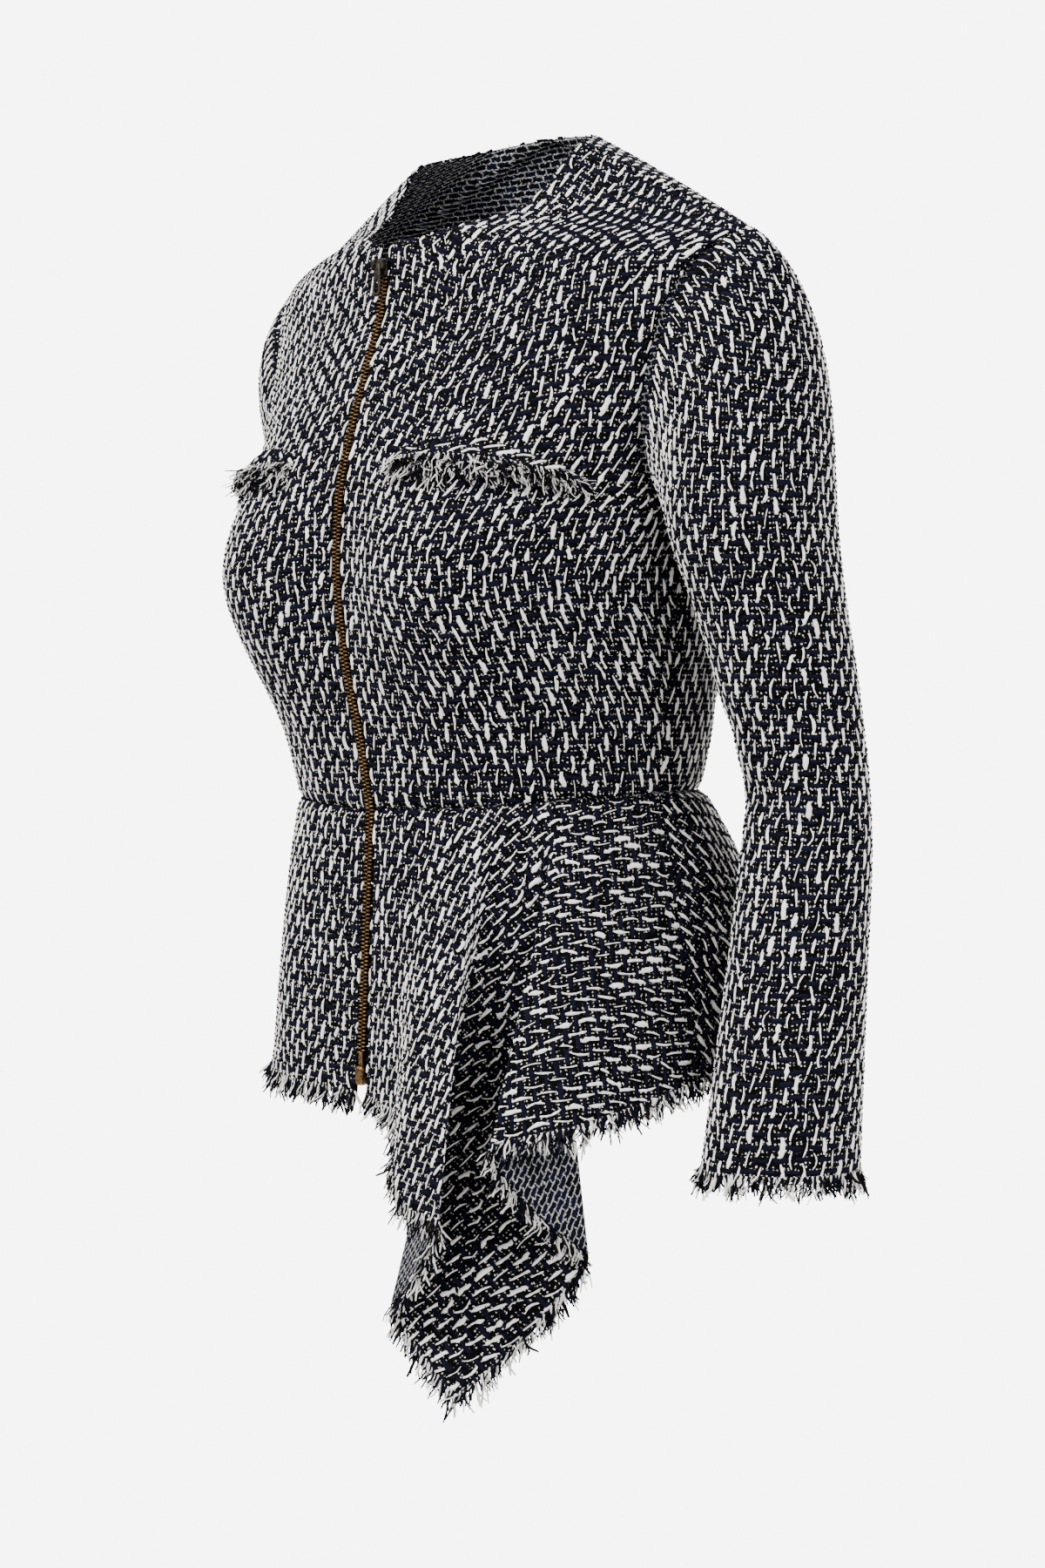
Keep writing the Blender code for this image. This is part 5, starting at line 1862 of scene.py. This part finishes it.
class Hem(NamedTuple):
    """Stitch line of a turned hem: its height over the last row and the share of the columns it crosses."""

    height: float
    share: float = 1.0


@dataclass
class Tailor:
    """Makes each panel: its shell, the yarns on it, the frayed edge below it and the stitches of its hem."""

    palette: Palette
    weave: Weave = field(default_factory=Weave)
    proud: float = -0.0004
    thick: float = 0.0014
    seam_weld: float = 0.00002
    kind_seed: int = 10
    fringe_seed: int = 50
    stitch_seed: int = 60

    def yarns(self, name: str, cloths: Sequence[Cloth], seed: int) -> List[Object]:
        """Slubs, bars and lumps of a panel, each kind as one piece.

        Args:
            name: name of the panel.
            cloths: its grids.
            seed: seed of its chance.
        Returns:
            The pieces.
        """
        kinds = (
            ("slubs", self.weave.slub, Crossing.PALE, (0.0, 1.0), self.palette.white),
            ("bars", self.weave.bar, Crossing.DARK, (1.0, 0.0), self.palette.navy),
            ("lumps", self.weave.lump, Crossing.CELL, (1.0, 0.0), self.palette.ground),
        )
        made = []
        for offset, (kind, form, tops, way, material) in enumerate(kinds):
            first = seed + self.kind_seed * offset
            parts = [self.weave.yarns(cloth, form, tops, way, first + number)
                     for number, cloth in enumerate(cloths)]
            made.append(add_piece(f"{name}_{kind}", joined(parts), (material,)))
        return made

    def fringe(self, node: str, cloth: Cloth, tufts: Fringe, seed: int) -> Object:
        """Frayed threads past the last row of a panel.

        Args:
            node: node that they stand for.
            cloth: the panel's grid.
            tufts: form of the fringe.
            seed: seed of the panel's chance.
        Returns:
            The piece.
        """
        fall = cloth.points[-1] - cloth.points[-3]
        fibres = tufts.build(cloth.points[-1], fall, cloth.normals[-1], seed + self.fringe_seed)
        return add_piece(node + "_tufts", fibres, self.palette.fray(), replaces=(node,))

    def stitches(self, name: str, cloth: Cloth, hem: Hem, seed: int) -> Object:
        """Stitch line of a panel's hem.

        Args:
            name: name of the panel.
            cloth: its grid.
            hem: place of the line.
            seed: seed of the panel's chance.
        Returns:
            The piece.
        """
        line, normal = cloth.above_hem(hem.height, int(hem.share * cloth.points.shape[1]))
        stitches = Stitching().build(line, normal, seed + self.stitch_seed)
        return add_piece(name + "_stitches", stitches, (self.palette.black,))

    def panel(
        self, name: str, cloths: Sequence[Cloth], fringe: Optional[str] = None, tufts: Fringe = Fringe(),
        nodes: Sequence[str] = (), hem: Optional[Hem] = None, seed: int = 1,
    ) -> None:
        """Build one panel.

        Args:
            name: name of the panel.
            cloths: its grids, one or two mirrored halves.
            fringe: node of its frayed last row, if it has one.
            tufts: form of the fringe.
            nodes: nodes that the panel stands for, when not the one of its own name.
            hem: its stitch line, if it has one.
            seed: seed of its chance.
        """
        shell = joined([cloth.shell(self.proud, self.thick) for cloth in cloths])
        weld = self.seam_weld if len(cloths) > 1 else 0.0
        finishes = (self.palette.ground, self.palette.reverse)
        sheet = add_piece(name + "_cloth", shell, finishes, replaces=nodes or (name,), weld=weld)
        extras = self.yarns(name, cloths, seed)
        if fringe:
            extras.append(self.fringe(fringe, cloths[0], tufts, seed))
        if hem:
            extras.append(self.stitches(name, cloths[0], hem, seed))
        sizes, areas = zip(*(cloth.cut() for cloth in cloths))


@dataclass
class Jacket:
    """The whole jacket."""

    tailor: Tailor
    cutting: Cutting = field(default_factory=Cutting)
    cuff_stitch: float = 0.057
    hem_stitch: float = 0.050
    hem_stitch_share: float = 0.16
    slit_share: float = 0.58
    slit_proud: float = 0.0006
    slit_seed: int = 70

    def bodice(self) -> None:
        """Two fronts and the back."""
        cutting = self.cutting
        seams = (Edge.FIRST_ROW, Edge.LAST_COLUMN, Edge.LAST_ROW)
        front_creases = (
            Crease((0.63, -0.12), (0.50, 0.36), 0.0042, -0.0024),
            Crease((0.98, 0.52), (0.60, 0.44), 0.0100, -0.0030),
            Crease((0.98, 0.44), (0.66, 0.30), 0.0120, 0.0022),
            Crease((0.25, 0.0), (0.22, 0.10), 0.0090, 0.0016),
            Crease((0.82, 0.0), (0.86, 0.16), 0.0100, -0.0018),
        )
        back_creases = (
            Crease((0.95, 0.50), (0.45, 0.38), 0.0130, -0.0026),
            Crease((0.35, 0.06), (0.75, 0.16), 0.0140, -0.0028),
            Crease((0.10, 0.16), (0.55, 0.12), 0.0120, 0.0020),
        )
        front = cutting.half(cutting.front, cutting.bust_depth, (92, 50), -1.0).shaped(front_creases, seams)
        self.tailor.panel("front_left", (front,), seed=100)
        self.tailor.panel("front_right", (front.mirrored(),), seed=200)
        back = cutting.half(cutting.back, 0.0, (88, 44), 1.0).shaped(back_creases, seams)
        self.tailor.panel("back", (back, back.mirrored()), seed=300)

    def sleeves(self) -> None:
        """Two sleeves with frayed cuffs."""
        cutting = self.cutting
        creases = (
            Crease((0.12, 0.52), (0.44, 0.60), 0.0090, -0.0026),
            Crease((0.10, 0.58), (0.40, 0.55), 0.0080, 0.0020),
            Crease((0.06, 0.46), (0.34, 0.44), 0.0100, -0.0020),
            Crease((0.95, 0.64), (0.70, 0.60), 0.0100, -0.0018),
        )
        left = cutting.sleeve(cutting.left_arm, (22, 70, 57)).shaped(creases, (Edge.FIRST_ROW,))
        right = cutting.sleeve(cutting.right_arm, (22, 64, 57)).shaped(creases, (Edge.FIRST_ROW,))
        for side, cloth, seed in (("left", left, 400), ("right", right.mirrored(), 500)):
            lengths = [f"sleeve_{side}_{length}" for length in ("cap", "upper", "lower")]
            self.tailor.panel(f"sleeve_{side}", (cloth,), f"fringe_cuff_{side}", nodes=lengths,
                              hem=Hem(self.cuff_stitch), seed=seed)

    def peplum(self) -> None:
        """Three peplum panels with frayed hems."""
        cutting = self.cutting
        left = cutting.peplum(cutting.left_peplum, cutting.front, cutting.bust_depth, (40, 150), 91.6, 0.0)
        right = cutting.peplum(cutting.right_peplum, cutting.front, cutting.bust_depth, (36, 48), 12.0, 0.0)
        back = cutting.peplum(cutting.back_peplum, cutting.back, 0.0, (36, 110), 92.0, 0.5)
        ripples = (
            Crease((0.30, 1.0), (0.33, 0.3), 0.0200, 0.0030),
            Crease((0.62, 1.0), (0.60, 0.2), 0.0220, -0.0030),
        )
        seams = (Edge.FIRST_ROW,)
        self.tailor.panel("peplum_front_left", (left.shaped((), seams),), "fringe_hem_left",
                          hem=Hem(self.hem_stitch, self.hem_stitch_share), seed=600)
        right = right.shaped(ripples, seams).mirrored()
        self.tailor.panel("peplum_front_right", (right,), "fringe_hem_right",
                          hem=Hem(self.hem_stitch), seed=700)
        self.tailor.panel("peplum_back", (back.shaped(ripples, seams),), "fringe_hem_back", seed=800)

    def pockets(self) -> None:
        """Two padded welts, each with a frayed edge over its slit and another below it."""
        tailor = self.tailor
        left = self.cutting.pocket((18, 40), math.radians(-62.0))
        fine = (
            Tuft(Shade.PALE, 4, 0.00046), Tuft(Shade.BLACK, 6, 0.00046),
            Tuft(Shade.PALE, 2, 0.00038), Tuft(Shade.NAVY, 5, 0.00044),
        )
        lower = Fringe(length=0.0078, kinds=fine, lift=0.40, sway=0.36, curl=0.30, loop=0.0016, stations=8)
        upper = replace(lower, length=0.0064, lift=0.34, loop=0.0015)
        for side, cloth, seed in (("left", left, 900), ("right", left.mirrored(), 950)):
            tailor.panel(f"pocket_{side}", (cloth,), f"fringe_pocket_{side}", lower, seed=seed)
            row = int(self.slit_share * len(cloth.points))
            raised = cloth.points[row] + self.slit_proud * cloth.normals[row]
            fall = cloth.points[row + 1] - cloth.points[row - 1]
            fibres = upper.build(raised, fall, cloth.normals[row], seed + self.slit_seed)
            add_piece(f"pocket_{side}_upper_tufts", fibres, tailor.palette.fray())


class Lamp(NamedTuple):
    """Square soft light: degrees from the front, distance out, height, width and watts."""

    name: str
    bearing: float
    reach: float
    height: float
    width: float
    power: float


@dataclass
class Studio:
    """Camera, lights and surround."""

    bearing: float = math.radians(46.0)
    distance: float = 2.15
    eye_height: float = -0.297
    lens: float = 83.8
    shift: Pair = (0.015, -0.0722)
    sky: float = 1.1
    backdrop: float = 7.0
    floor_height: float = -1.05
    floor_radius: float = 0.85
    floor_rings: Tuple[float, ...] = (0.001, 0.5, 1.0)
    floor_points: int = 96
    aim_height: float = -0.25
    lamps: Tuple[Lamp, ...] = (
        Lamp("key", -14.0, 2.2, 1.3, 1.3, 185.0),
        Lamp("fill", 82.0, 2.6, 0.8, 1.6, 115.0),
        Lamp("back", 215.0, 2.4, 1.4, 1.6, 90.0),
    )

    @staticmethod
    def around(bearing: float, reach: float, height: float) -> Triple:
        """Place at an angle from the front, a distance out and a height."""
        return reach * math.sin(bearing), -reach * math.cos(bearing), height

    def camera(self) -> None:
        """Level camera at the photograph's angle."""
        data = bpy.data.cameras.new("camera")
        data.lens = self.lens
        data.shift_x, data.shift_y = self.shift
        camera = bpy.data.objects.new("camera", data)
        camera.location = self.around(self.bearing, self.distance, self.eye_height)
        camera.rotation_euler = (math.pi / 2, 0.0, self.bearing)
        bpy.context.scene.collection.objects.link(camera)
        bpy.context.scene.camera = camera

    def light(self, lamp: Lamp) -> None:
        """Square soft light that looks at the jacket's middle.

        Args:
            lamp: its place, width and power.
        """
        data = bpy.data.lights.new(lamp.name, "AREA")
        data.size = lamp.width
        data.energy = lamp.power
        angle = math.radians(lamp.bearing)
        light = bpy.data.objects.new(lamp.name, data)
        light.location = self.around(angle, lamp.reach, lamp.height)
        light.rotation_euler = (math.atan2(lamp.reach, lamp.height - self.aim_height), 0.0, angle)
        bpy.context.scene.collection.objects.link(light)

    def surround(self) -> None:
        """White surround: one strength for what the camera sees, a lower one for the light that it gives."""
        world = bpy.data.worlds.new("studio")
        world.use_nodes = True
        nodes, links = world.node_tree.nodes, world.node_tree.links
        either = nodes.new("ShaderNodeMixShader")
        links.new(nodes.new("ShaderNodeLightPath").outputs["Is Camera Ray"], either.inputs[0])
        backgrounds = (nodes["Background"], self.sky), (nodes.new("ShaderNodeBackground"), self.backdrop)
        for number, (background, strength) in enumerate(backgrounds, 1):
            background.inputs["Color"].default_value = (1.0, 1.0, 1.0, 1.0)
            background.inputs["Strength"].default_value = strength
            links.new(background.outputs[0], either.inputs[number])
        links.new(either.outputs[0], nodes["World Output"].inputs["Surface"])
        bpy.context.scene.world = world

    def floor(self) -> None:
        """Plain pale disc below the jacket: rings of points from its middle to its rim."""
        turn = np.linspace(0.0, 2 * np.pi, self.floor_points, endpoint=False)
        reach = self.floor_radius * np.array(self.floor_rings)
        x = reach[:, None] * np.cos(turn)
        y = reach[:, None] * np.sin(turn)
        points = np.stack((x, y, np.full_like(x, self.floor_height)), axis=-1).reshape(-1, 3)
        mesh = bpy.data.meshes.new("floor")
        mesh.from_pydata(points.tolist(), [], grid_quads(len(reach), len(turn), True)[:, ::-1].tolist())
        mesh.materials.append(PaleFloor().material())
        floor = bpy.data.objects.new("floor", mesh)
        bpy.context.scene.collection.objects.link(floor)

    def build(self) -> None:
        """Make the camera, the surround, the floor and three soft lights."""
        self.camera()
        self.surround()
        self.floor()
        for lamp in self.lamps:
            self.light(lamp)


def main() -> None:
    """Build the studio and the jacket."""
    logging.basicConfig(level=logging.INFO)
    Studio().build()
    palette = Palette.mixed()
    jacket = Jacket(Tailor(palette))
    jacket.bodice()
    jacket.sleeves()
    jacket.peplum()
    jacket.pockets()
    Zip(palette, jacket.cutting.centre_front()).build()


if __name__ == "__main__":
    main()
